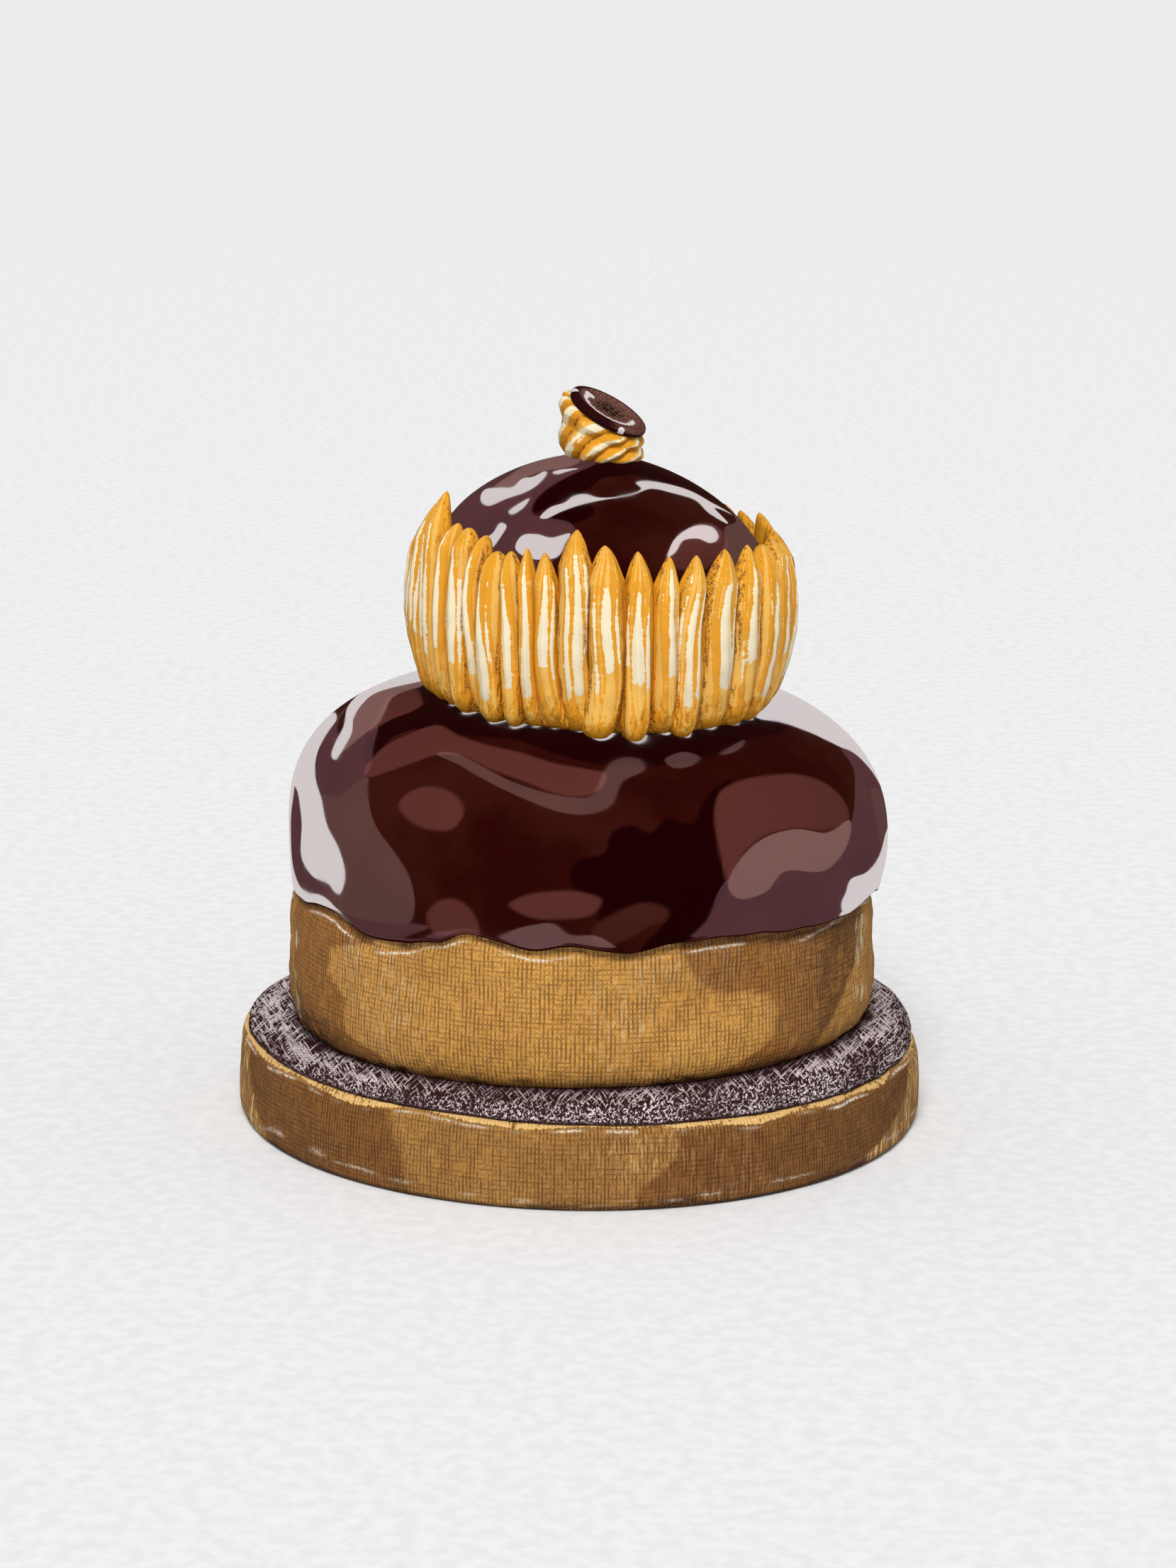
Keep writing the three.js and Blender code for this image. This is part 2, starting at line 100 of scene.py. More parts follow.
# Cream colours: plain is the cream's own; pale is for painted highlight streaks, and deep orange and brown
# for painted shade.
CREAM_COLOURS = dict(
    plain=(0.78, 0.45, 0.098), deep=(0.73, 0.315, 0.018),
    pale=(0.85, 0.74, 0.51), crease_shade=(0.20, 0.075, 0.016),
)
# Brightens the strokes' lower part: painted light.
CREAM_PALER_BELOW = (1.25, 1.22, 1.15)
# The button's ring colour is for painted highlights.
BUTTON_COLOURS = dict(
    rim=(0.022, 0.003, 0.004), face=(0.21, 0.088, 0.062), grain=(0.105, 0.040, 0.030),
    middle=(0.020, 0.012, 0.010), ring=(0.78, 0.71, 0.70),
)
FLOOR_SIZE = 40  # metres
FLOOR_GREYS = ((0.80, 0.80, 0.80), (0.86, 0.86, 0.86))

# Biscuit base and the chocolate spread on it. The two top faces slope a little across X.
BASE = dict(radius=41.2, top_radius=40.5, height=9.9, slope=-0.013, foot=40.0)
SPREAD = dict(radius=40.2, seat_radius=39.6, top=12.15, slope=0.02)

# Large choux bun and the glaze dome over it, as superellipses on its left and right sides.
CHOUX = dict(foot_radius=33.4, belly_radius=35.45, shoulder_radius=34.3)
DOME_LEFT = dict(radius=35.15, height=17.8, middle=35.0, power=2.75, undercut=0.4)
DOME_RIGHT = dict(radius=36.5, height=19.1, middle=33.7, power=2.45, undercut=1.2)
DOME_FRONT_POWER = -0.38
DOME_MIDDLE = 34.4
USUAL_HEM = 27.6
GLAZE_EDGE = [  # azimuth in degrees and height of the wavy lower edge
    (-92, 27.0), (-70, 27.7), (-57, 28.8), (-43, 27.1), (-35, 27.4), (-28, 28.3), (-21, 29.75),
    (-8, 28.5), (-1, 29.1), (8.5, 28.3), (19.5, 29.5), (34, 29.45), (43, 28.85), (60, 28.6),
    (70, 29.4), (93, 27.4), (110, 28.9), (124, 28.3), (136, 28.9), (148, 27.3), (163, 28.7),
    (180, 28.4), (201, 27.0), (218, 28.8), (236, 28.2), (252, 28.9), (268, 27.0),
]

# Where the painted shade on the left and right sides of a crust begins, and the golden places beyond it near
# the outlines, which that shade spares and which on the biscuit are painted highlights: heights, and the
# azimuths in degrees that belong to them.
BISCUIT_SIDES = dict(
    right=([1.3, 3.0, 4.5, 6.4, 9.8], [8.9, 10.0, 12.8, 15.9, 15.5]),
    left=([1.3, 3.0, 4.5, 6.4, 9.8], [-27.5, -28.3, -29.0, -30.3, -31.4]),
    golden_right=([1.4, 4.0, 4.8, 9.7], [54, 65, 69, 77]),
    golden_left=([1.5, 5.6, 8.4], [-63, -71, -73]),
)
CHOUX_SIDES = dict(
    right=([12.3, 13.4, 15.6, 16.9, 20.2, 22.2, 23.1, 24.6, 28.1],
           [23.0, 26.9, 35.4, 38.7, 39.4, 36.7, 25.7, 22.1, 18.5]),
    left=([13.8, 14.4, 15.2, 17.0, 19.0, 20.0, 21.5, 24.5, 26.5],
          [-40.0, -45.4, -49.4, -50.3, -49.8, -52.3, -56.5, -55.6, -43.4]),
    golden_right=([14.7, 16.4, 21.4, 23.0], [51, 54, 66, 69]),
    golden_left=([14, 24], [-70, -76]),
)

# Places painted on the two glazes: the redder ones are painted reflections, and the nearly black ones painted
# shade. An outline here is rounded, and its points are azimuth and elevation in degrees, seen from the middle
# of the glaze.
DOME_PAINTED_RED = [
    [(-65, 27), (-70, 30), (-79, 33), (-86, 36), (-84.5, 40), (-75, 40), (-65, 38), (-63.5, 35),
     (-64.5, 32)],
    [(-53, 19), (-54, 25), (-52, 29), (-48, 34), (-37, 32.5), (-26, 31), (-17, 30), (-7, 27.5), (2, 26),
     (5.5, 25), (4, 21.5), (0, 19.8), (-5, 20), (-13, 22.5), (-23, 25), (-31, 27), (-38, 26), (-43, 22.5),
     (-51, 18)],
    [(-39, 14.5), (-38, 17), (-34, 19), (-27, 18), (-24, 15), (-25, 12), (-29.5, 11), (-35, 12)],
    [(-29.5, -5), (-27, -2), (-24, -1), (-21, -2), (-19, -5), (-19, -7.5), (-24, -8), (-28, -8)],
    [(-13, -1), (-10, 1), (-5, 2), (0, 2), (3.5, 0.5), (2, -2), (-3, -3), (-9, -3)],
    [(27, 15), (30, 19), (37, 21), (45, 21), (54, 19.5), (60, 16), (62, 12), (61, 9), (52, 8.5), (44, 10.2),
     (36, 9.8), (30, 6.8), (27, 2.5), (26.3, 5), (26, 10)],
]
DOME_FAINT_PAINTED_RED = [
    [(2, -5), (6, -2), (11, 0), (15, -1), (15.5, -3), (12, -4.5), (8, -7), (3, -8)],
]
FAINT = 0.35  # how strong those last, faint painted reflections are
DOME_PAINTED_DARK = [
    [(-2, 4.5), (-1, 7.5), (4, 9), (5.5, 12.5), (9.5, 14), (13, 12.5), (17, 15), (21.5, 13.5), (25, 17),
     (29, 20), (36, 22), (29, 18), (26, 13.5), (26, 6.5), (26.5, 1), (23, -3.5), (18, -9), (11, -9),
     (15, -4), (16, -2), (11, 0), (6, -1.5), (3, -3), (3.5, 1), (-1, 2)],
    [(-53, 20.5), (-62, 25), (-64.5, 30), (-62.5, 37), (-64, 40), (-51, 37.5), (-39, 35), (-37.5, 33),
     (-47, 33.5), (-51, 32), (-55, 28), (-54.5, 25)],
]
CAP_PAINTED_RED = [
    [(23, 6.5), (27, 12.5), (35, 17.5), (49, 21), (58, 18), (57, 12.5), (45, 6), (34, 3)],
]
CAP_PAINTED_DARK = [
    [(-32, 22), (-35, 28), (-32, 41), (-23, 57), (0, 72), (60, 72), (40, 60), (24, 56), (-1, 51), (-11, 39),
     (-23, 30)],
    [(-27, 20), (-19, 25.5), (-8, 31), (-4, 26.5), (-8, 21.5), (-15, 19)],
    [(92, 70), (110, 48), (102, 32), (98, 20), (79, 31), (69, 43), (38, 52), (30, 62)],
]

# What the glazes mirror: the windows of the studio's light tents by tone, each given as the outline that its
# reflection fills. Where windows of two tones overlap, the tone listed first shows.
TONES = dict(
    pale=(0.61, 0.57, 0.575),
    rosy=(0.100, 0.058, 0.056),
    pink=(0.165, 0.093, 0.086),
    grey=(0.072, 0.041, 0.037),
    purple=(0.056, 0.027, 0.032),
)
TENT = dict(distance=260.0, lowest=1.0, pane_degrees=1.5)
GLINT_OUTSIDE = 0.75  # how far a glint lies outside its stroke's foot
DOME_WINDOWS = dict(
    pale=[
        [(-100, 21), (-86, 24), (-81, 21.5), (-75, 17.5), (-68, 14), (-61.5, 11), (-57, 7), (-52, 3.5),
         (-50, -1), (-52, -5), (-54, -5), (-56, -4), (-63, -4), (-69, -1.5), (-69, 5), (-75, 9.5), (-92, 9),
         (-97, 14.5)],
        [(-96, 26.5), (-77, 24.5), (-68, 19), (-65, 19), (-69, 24), (-79, 27), (-88, 29.5), (-95, 32),
         (-96, 41), (-125, 46), (-128, 34), (-110, 27)],
        [(-100, 11), (-79, 9), (-79, 2), (-78, -5), (-72, -8), (-66, -8), (-58, -7), (-52.5, -9),
         (-50, -12), (-53, -13), (-62, -13), (-73, -14), (-92, -14), (-100, -3)],
        [(66, 35), (71, 31.5), (75, 26.5), (79, 21), (84, 17.5), (86, 14), (90, 9), (108, 12), (125, 24),
         (130, 38), (105, 46), (78, 42)],
        [(56, -6), (57, -4), (58, -2), (65, -2), (71.5, -1), (80, 2), (90, 0), (84, -6), (68, -10),
         (60, -10)],
    ],
    pink=[
        [(27, 2), (30, 6.5), (36, 9.5), (44, 10), (52, 8), (61, 8.5), (58, 5), (50, 1.5), (39, 3), (35, 0),
         (29, -0.5)],
        [(-90, 29), (-100, 33), (-104, 40), (-87, 41), (-85, 36.5), (-72, 32), (-66, 28.5), (-65.5, 20),
         (-70, 23), (-80, 27)],
    ],
    rosy=[
        [(-16, -8), (-13, -6), (-9, -4.5), (-5, -4), (-2, -6), (3, -6.2), (7, -9), (3, -8), (-4, -8),
         (-9, -9), (-13, -8)],
    ],
    grey=[
        [(-63, 11.5), (-56, 13), (-51, 18), (-48, 15), (-43, 10), (-36, 5), (-33, 1.5), (-32, -3.5),
         (-33.5, -7), (-39, -8), (-48, -8.5), (-56, -7.5), (-62, 2)],
        [(-38, 26.5), (-34, 27.5), (-24, 25), (-15, 22), (-3, 19.5), (2, 20), (4, 24), (7, 28), (11, 29.5),
         (15, 28.5), (15, 26), (9, 23), (6, 18), (3, 16.5), (-1, 16), (-5, 16.5), (-13, 19), (-22, 22),
         (-30, 24.7)],
        [(21, 28), (24, 29.5), (28, 30), (31, 28), (27, 26), (22, 26)],
        [(76.5, 11), (83, 9.5), (84, 7.5), (82, 4), (77, 2), (74, 1), (73, 5), (74, 8)],
        [(37, 28), (42, 29.5), (49, 30.5), (46, 29), (40, 27.8)],
    ],
    purple=[
        [(-100, 28), (-90, 25), (-82, 21.5), (-73, 17), (-67, 14), (-62, 11.5), (-55, 13), (-52, 16),
         (-52, 19.5), (-57, 24), (-66, 28.5), (-68, 23)],
        [(-82, 12), (-69, 6), (-70, -1), (-63, -4), (-55, -4), (-52, -6), (-49, -8), (-41, -8), (-33, -7),
         (-29, -7), (-35, -10), (-41, -12), (-48, -12), (-54, -9), (-65, -8.5), (-80, -8), (-84, 1)],
        [(-34.5, -11.5), (-31.5, -10), (-28, -8), (-24, -7), (-20, -6.5), (-17, -7.5), (-13.5, -9),
         (-15, -12), (-24, -12), (-32, -13.5)],
        [(19, -9.5), (19, -8), (23, -4), (25, 1), (27, 3), (32, 1.5), (39, 3), (49, 3), (57, 5), (61, 8),
         (69, 13), (76, 16.5), (79, 20), (96, 18), (94, 10), (88, 2), (76, -1), (73, -5), (62, -11),
         (45, -11), (33, -11)],
    ],
)
CAP_WINDOWS = dict(
    pale=[
        [(-71, 21), (-80, 25), (-68, 29.5), (-59, 32.5), (-62, 39), (-56, 42.5), (-55, 49), (-48, 46.5),
         (-44, 37.5), (-46, 31.5), (-53, 25.5), (-59, 20)],
        [(-47, 50.5), (-43, 54.5), (-28, 59), (-35, 53.5), (-40, 49)],
        [(-45, 20), (-43.5, 24), (-40, 28.5), (-39, 23), (-42, 19)],
        [(-47.5, 7.5), (-45.5, 10.5), (-45, 14.5), (-41, 14), (-41, 9.5), (-43, 5)],
        [(-33, 7), (-32, 11.5), (-26, 13), (-20, 12.5), (-13, 15), (-14, 11), (-16, 6), (-23, 4),
         (-29, 4.5)],
        [(-28, 20), (-26, 25.5), (-20, 29.5), (-17, 34), (-11, 36.5), (-2, 35), (10, 37), (27, 43.5),
         (26, 48), (37, 50), (56, 45), (69, 37.5), (75, 28.5), (84, 20.5), (70, 26), (68, 18.5), (60, 25),
         (61, 32), (49, 38.5), (35, 43), (17, 38), (-2, 33), (-13, 28.5), (-20, 24), (-25, 20)],
        [(24, 8), (28, 13.5), (36, 18), (47, 20), (54, 18), (53, 14.5), (46, 12.5), (41, 14.5), (33, 14),
         (28, 10)],
    ],
    pink=[
        [(-73, 27.5), (-82, 38), (-105, 50), (-110, 65), (-39, 68), (-41, 58), (-55, 50), (-61, 41),
         (-58, 33)],
    ],
    purple=[
        [(-80, 6), (-98, 19), (-105, 37), (-112, 60), (-12, 72), (-25, 55), (-33, 42), (-36, 29.5),
         (-33, 21.5), (-24, 20.5), (-14, 19.5), (-10, 14.5), (-14, 8), (-22, 1), (-42, -1), (-62, 2)],
    ],
    grey=[
        [(100, 22), (100, 13), (86, 7), (64, 5), (48, 3), (45, 6), (55, 12), (61, 17), (80, 18)],
    ],
)

# Head of piped cream strokes, the small cap of glaze, the tuft and the button.
HEAD_AXIS_X = 1.85
STROKES = dict(
    belly=21.65, belly_level=0.54, bend=8.5, half_depth=1.75, overlap=1.12, foot_outside=1.85,
    rows=64, around=64, first_seed=100,
)
USUAL_TIP = 71.2
FRONT_STROKES = [  # azimuths in degrees of the belly, tip and foot, tip height, reach of the foot, width
    (-84.0, -89.0, -87.0, 72.4, 0.0, 4.7),
    (-73.0, -77.5, -77.0, 74.2, 0.3, 3.9),
    (-63.4, -68.4, -68.0, 75.9, 0.2, 3.7),
    (-55.9, -57.5, -59.2, 72.7, 0.0, 2.4),
    (-48.6, -50.0, -49.7, 72.5, 0.5, 3.5),
    (-41.9, -42.5, -42.9, 72.0, -0.6, 2.2),
    (-35.2, -36.8, -36.8, 70.4, 0.8, 3.5),
    (-27.8, -31.8, -28.6, 70.6, 0.7, 2.6),
    (-22.5, -26.3, -22.3, 71.2, -0.2, 2.2),
    (-16.7, -19.8, -15.9, 70.8, -0.5, 3.0),
    (-8.4, -9.3, -7.1, 73.6, -0.3, 3.7),
    (1.6, -0.1, -1.0, 71.9, 1.1, 4.2),
    (11.1, 12.0, 10.5, 71.2, 1.4, 3.3),
    (19.1, 22.1, 21.0, 70.5, -0.2, 3.1),
    (27.3, 32.0, 27.6, 70.4, 0.8, 3.4),
    (37.3, 45.0, 38.8, 70.7, -0.3, 4.5),
    (48.4, 57.0, 50.3, 70.7, 0.0, 4.2),
    (58.6, 68.0, 59.6, 70.2, 0.0, 3.8),
    (68.8, 79.0, 68.0, 70.2, -0.4, 4.0),
    (79.5, 88.0, 77.0, 70.4, -0.6, 4.5),
]
BACK_STROKES = dict(count=18, start=85, end=270.5, tip=71.0, tip_spread=0.8, reach=0.5, width=4.0, sway=2.5)
CAP = dict(radius=19.1, height=11.5, middle=68.0, power=1.65, slope=-0.06, skirt=1.1)
TUFT = dict(axis_x=1.55, ridges=10, ridge_depth=0.55, twist=1.2)
TUFT_RADII = [4.15, 4.75, 4.85, 4.45, 4.85, 4.5]
BUTTON = dict(radius=5.05, thickness=1.1, centre=(2.3, 0.0, 84.38), lean=28.3, nod=10.5)


# ---------------------------------------------------------------- numbers and fields

def scatter(index, stream):
    """A repeatable number from 0 to 1, the same as the part's source draws."""
    value = math.sin(index * 12.9898 + stream * 78.233) * 43758.5453
    return value - math.floor(value)


def wobble(index, stream):
    """A repeatable number from -1 to 1."""
    return 2 * scatter(index, stream) - 1


def lerp(low, high, share):
    return low + (high - low) * share


def smoothstep(value, low, high):
    share = np.clip((value - low) / (high - low), 0, 1)
    return share * share * (3 - 2 * share)


def ripple(points, wavelength, seed, waves=14):
    """Smooth seeded unevenness of about unit size over points in millimetres."""
    random = np.random.default_rng(seed)
    total = np.zeros(points.shape[:-1])
    for _ in range(waves):
        direction = random.normal(size=3)
        direction /= np.linalg.norm(direction)
        pitch = wavelength * random.uniform(0.7, 1.5)
        total += np.sin(points @ direction * (TURN / pitch) + random.uniform(0, TURN))
    return total / math.sqrt(waves / 2)


def broken(points, wavelength, seed, middle, swing, low=0, high=1):
    """A seeded share from low to high that wavers about a middle value."""
    return np.clip(middle + swing * ripple(points, wavelength, seed), low, high)


def bell(distance, width):
    return np.exp(-((distance / width) ** 2))


def quarter_round(share):
    """How far a quarter circle has risen, steeply at first, as share goes from 0 to 1."""
    return np.sqrt(np.clip(1 - (1 - np.minimum(share, 1)) ** 2, 0, 1))


def centred(azimuth):
    """Azimuth in degrees from -180 to 180."""
    return np.degrees(np.arctan2(np.sin(azimuth), np.cos(azimuth)))


def beyond(azimuth, height, heights, degrees, edge=(-0.5, 0.9), side=1):
    """Whether points lie right (side=1) or left (-1) of a boundary, given as azimuths at some heights."""
    boundary = np.interp(height, heights, degrees)
    return smoothstep(side * (centred(azimuth) - boundary), *edge)


def crust_sides(azimuth, height, right, left, golden_right, golden_left):
    """How far points lie in the painted shade on the sides of a crust, and in the golden places beyond it."""
    shaded_sides = beyond(azimuth, height, *right) + beyond(azimuth, height, *left, side=-1)
    soft = (-1, 2)
    golden = beyond(azimuth, height, *golden_right, soft)
    return shaded_sides, golden + beyond(azimuth, height, *golden_left, soft, side=-1)


def at_the_back(azimuth):
    return smoothstep(-np.cos(azimuth), 0.0, 0.35)


# ---------------------------------------------------------------- shared forms

def base_top(radius, azimuth):
    return BASE["height"] + BASE["slope"] * radius * np.sin(azimuth)


def spread_top(radius, azimuth):
    return SPREAD["top"] + SPREAD["slope"] * radius * np.sin(azimuth)


def dome_at(azimuth):
    """Sizes of the large glaze at an azimuth, from its left and right sides."""
    share = (1 + np.sin(azimuth)) / 2
    size = {key: lerp(DOME_LEFT[key], DOME_RIGHT[key], share) for key in DOME_LEFT}
    size["power"] = size["power"] + DOME_FRONT_POWER * np.cos(azimuth)
    return size


def dome_surface(x, y):
    """Height of the large glaze's surface near its top."""
    size = dome_at(np.arctan2(x, -y))
    share = 1 - (np.hypot(x, y) / size["radius"]) ** size["power"]
    return size["middle"] + size["height"] * np.clip(share, 0, 1) ** (1 / size["power"])


def glaze_edge(azimuth):
    """Height of the wavy lower edge of the large glaze, eased between its listed heights."""
    turns, heights = np.array(GLAZE_EDGE).T
    turn = turns[0] + np.mod(np.degrees(azimuth) - turns[0], 360)
    after = np.searchsorted(turns, turn, side="right").clip(1, len(turns) - 1)
    share = smoothstep(turn, turns[after - 1], turns[after])
    return lerp(heights[after - 1], heights[after], share)


def dome_radius(azimuth, rise):
    """Outer radius of the large glaze at a height above its middle."""
    size = dome_at(azimuth)
    height = DOME_MIDDLE + rise
    crown = np.clip((height - size["middle"]) / size["height"], 0, 1)
    depth = np.clip((size["middle"] - height) / (size["middle"] - USUAL_HEM), 0, 1.8)
    undercut = size["undercut"] * depth ** 1.9
    return size["radius"] * (1 - crown ** size["power"]) ** (1 / size["power"]) - undercut


def cap_radius(azimuth, rise):
    share = np.clip(rise / CAP["height"], 0, 1) + 0 * azimuth
    return CAP["radius"] * (1 - share ** CAP["power"]) ** (1 / CAP["power"])


def outer_place(azimuth, elevation, radius_at, farthest=60.0, halvings=32):
    """Radius and rise of a turned surface in directions from its middle, found by halving."""
    near = np.zeros(np.broadcast(azimuth, elevation).shape)
    far = near + farthest
    for _ in range(halvings):
        reach = (near + far) / 2
        inside = reach * np.cos(elevation) < radius_at(azimuth, reach * np.sin(elevation))
        near = np.where(inside, reach, near)
        far = np.where(inside, far, reach)
    return near * np.cos(elevation), near * np.sin(elevation)


def dome_point(azimuth, elevation):
    """Point of the large glaze, which has sagged a little unevenly, in a direction from its middle."""
    radius, rise = outer_place(azimuth, elevation, dome_radius)
    height = DOME_MIDDLE + rise
    plain = turned(radius, height, azimuth)
    sag = 0.03 * ripple(plain, 30, 31, 8)
    return turned(radius + sag * smoothstep(height, 33, 42), height, azimuth)


def cap_point(azimuth, elevation):
    """Point of the small glaze in a direction from its middle."""
    radius, rise = outer_place(azimuth, elevation, cap_radius)
    point = turned(radius, CAP["middle"] + rise, azimuth)
    point[..., 2] += smoothstep(rise, 0.0, 3.0) * (0.02 * ripple(point, 15, 41, 8) - 0.1)
    point[..., 2] += CAP["slope"] * point[..., 0]
    point[..., 0] += HEAD_AXIS_X
    return point


def cap_surface(x, y):
    """Height of the small cap's surface."""
    aside = x - HEAD_AXIS_X
    share = 1 - (np.hypot(aside, y) / CAP["radius"]) ** CAP["power"]
    return CAP["middle"] + CAP["height"] * np.clip(share, 0, 1) ** (1 / CAP["power"]) + CAP["slope"] * aside


# ---------------------------------------------------------------- meshes

def azimuths(segments):
    return np.arange(segments) / segments * TURN


def turned(radius, height, azimuth):
    """Points of a turned surface from (rows, segments) arrays of radius and height."""
    radius, height = np.broadcast_arrays(radius, height)
    return np.stack([radius * np.sin(azimuth), -radius * np.cos(azimuth), height], axis=-1)


def skin(rows):
    """Points and faces of a closed surface from rows of points, each end shut by a middle point."""
    count, segments, _ = rows.shape
    points = np.concatenate([rows.reshape(-1, 3), rows[0].mean(0)[None], rows[-1].mean(0)[None]])
    here = np.arange(segments)
    after = (here + 1) % segments
    start = (np.arange(count - 1) * segments)[:, None]
    above = start + segments
    quads = np.stack([start + here, start + after, above + after, above + here], axis=-1)
    last = (count - 1) * segments
    foot = np.stack([np.full(segments, count * segments), after, here], axis=-1)
    crown = np.stack([np.full(segments, count * segments + 1), last + here, last + after], axis=-1)
    return points, quads.reshape(-1, 4), np.concatenate([foot, crown])


def joined(skins):
    """One set of points and faces from several closed surfaces."""
    points, quads, triangles, offset = [], [], [], 0
    for some_points, some_quads, some_triangles in skins:
        points.append(some_points)
        quads.append(some_quads + offset)
        triangles.append(some_triangles + offset)
        offset += len(some_points)
    return np.concatenate(points), np.concatenate(quads), np.concatenate(triangles)


def make_piece(name, surface, material, node, fields):
    """A smooth mesh object in metres that rides on the part and replaces a solid."""
    points, quads, triangles = surface
    mesh = bpy.data.meshes.new(name)
    mesh.vertices.add(len(points))
    mesh.vertices.foreach_set("co", (points * MM).ravel())
    corners = np.concatenate([quads.ravel(), triangles.ravel()])
    sizes = np.concatenate([np.full(len(quads), 4), np.full(len(triangles), 3)])
    mesh.loops.add(len(corners))
    mesh.loops.foreach_set("vertex_index", corners)
    mesh.polygons.add(len(sizes))
    mesh.polygons.foreach_set("loop_start", np.concatenate([[0], np.cumsum(sizes)[:-1]]))
    mesh.polygons.foreach_set("use_smooth", np.ones(len(sizes), dtype=bool))
    for key, values in fields.items():
        layer = mesh.attributes.new(key, "FLOAT", "POINT")
        layer.data.foreach_set("value", values.astype(np.float32))
    mesh.update(calc_edges=True)
    mesh.validate()
    piece = bpy.data.objects.new(name, mesh)
    bpy.context.scene.collection.objects.link(piece)
    piece.data.materials.append(material)
    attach(piece, "root")
    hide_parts(node)
    return piece


def make_turned_piece(name, rows, material, node, slot, **values):
    """A piece from rows of points, with named values for every point and 0 at the two end points."""
    shape = rows.shape[:2]
    fields = {key: np.append(np.broadcast_to(value, shape).ravel(), [0, 0]) for key, value in values.items()}
    return make_piece(name, skin(rows), material, node, fields)


# ---------------------------------------------------------------- material helpers

class Nodes:
    """A short way to write a material's node tree."""

    def __init__(self, name):
        self.material = bpy.data.materials.new(name)
        self.material.use_nodes = True
        self.tree = self.material.node_tree
        self.shader = self.tree.nodes["Principled BSDF"]
        self.place = self.add("ShaderNodeTexCoord").outputs["Object"]

    def add(self, kind, **settings):
        node = self.tree.nodes.new(kind)
        for key, value in settings.items():
            setattr(node, key, value)
        return node

    def link(self, source, target):
        if isinstance(source, bpy.types.NodeSocket):
            self.tree.links.new(source, target)
        else:
            target.default_value = source

    def set(self, **values):
        for key, value in values.items():
            self.link(value, self.shader.inputs[key.replace("_", " ")])

    def noise(self, scale, detail=4.0, roughness=0.55, place=None):
        node = self.add("ShaderNodeTexNoise")
        self.link(place or self.place, node.inputs["Vector"])
        node.inputs["Scale"].default_value = scale
        node.inputs["Detail"].default_value = detail
        node.inputs["Roughness"].default_value = roughness
        return node.outputs["Fac"]

    def field(self, name):
        return self.add("ShaderNodeAttribute", attribute_name=name).outputs["Fac"]

    def parts(self, vector):
        node = self.add("ShaderNodeSeparateXYZ")
        self.link(vector, node.inputs[0])
        return node.outputs

    def stretched(self, scale, turn=0.0):
        node = self.add("ShaderNodeMapping", vector_type="TEXTURE")
        self.link(self.place, node.inputs["Vector"])
        node.inputs["Rotation"].default_value = (0, 0, turn)
        node.inputs["Scale"].default_value = [1 / share for share in scale]
        return node.outputs["Vector"]

    def math(self, operation, first, second=0.0):
        node = self.add("ShaderNodeMath", operation=operation)
        for socket, value in zip(node.inputs, (first, second)):
            self.link(value, socket)
        return node.outputs["Value"]

    def plus(self, first, second):
        return self.math("ADD", first, second)

    def minus(self, first, second):
        return self.math("SUBTRACT", first, second)

    def times(self, first, second):
        return self.math("MULTIPLY", first, second)

    def larger(self, first, second):
        return self.math("MAXIMUM", first, second)

    def span(self, value, low, high, start=0.0, end=1.0):
        """The value eased from start to end while it goes from low to high."""
        node = self.add("ShaderNodeMapRange", interpolation_type="SMOOTHSTEP")
        for socket, item in zip(node.inputs, (value, low, high, start, end)):
            self.link(item, socket)
        return node.outputs["Result"]

    def mix(self, share, first, second, blend="MIX"):
        node = self.add("ShaderNodeMix", data_type="RGBA", blend_type=blend)
        self.link(share, node.inputs["Factor"])
        for index, value in zip(MIX_COLOURS, (first, second)):
            self.link(value if isinstance(value, bpy.types.NodeSocket) else (*value, 1.0), node.inputs[index])
        return node.outputs[MIX_RESULT]

    def bump(self, height, distance):
        """A relief whose full height is a distance in metres."""
        node = self.add("ShaderNodeBump")
        node.inputs["Distance"].default_value = distance
        self.link(height, node.inputs["Height"])
        return node.outputs["Normal"]


# ---------------------------------------------------------------- materials

def glaze_material():
    """Dark chocolate fondant: nearly mirror-smooth, with redder painted reflections and nearly black painted
    shade.
    """
    nodes = Nodes("chocolate_glaze")
    cloud = nodes.span(nodes.noise(80, 3), 0.35, 0.7)
    colour = nodes.mix(cloud, GLAZE_COLOURS["dark"], GLAZE_COLOURS["cloud"])
    # Nearly black painted shade, then redder painted reflections.
    colour = nodes.mix(nodes.field("thick"), colour, GLAZE_COLOURS["thick"])
    colour = nodes.mix(nodes.field("painted_red_reflection"), colour, GLAZE_COLOURS["painted_red_reflection"])
    sheen = nodes.span(nodes.noise(260, 3), 0.35, 0.7, 0.04, 0.08)
    fine = nodes.bump(nodes.noise(420, 3), 0.000002)
    nodes.set(Base_Color=colour, Roughness=sheen, Normal=fine)
    nodes.set(IOR=GLAZE_IOR, Specular_Tint=(*GLAZE_TINT, 1.0))
    return nodes.material


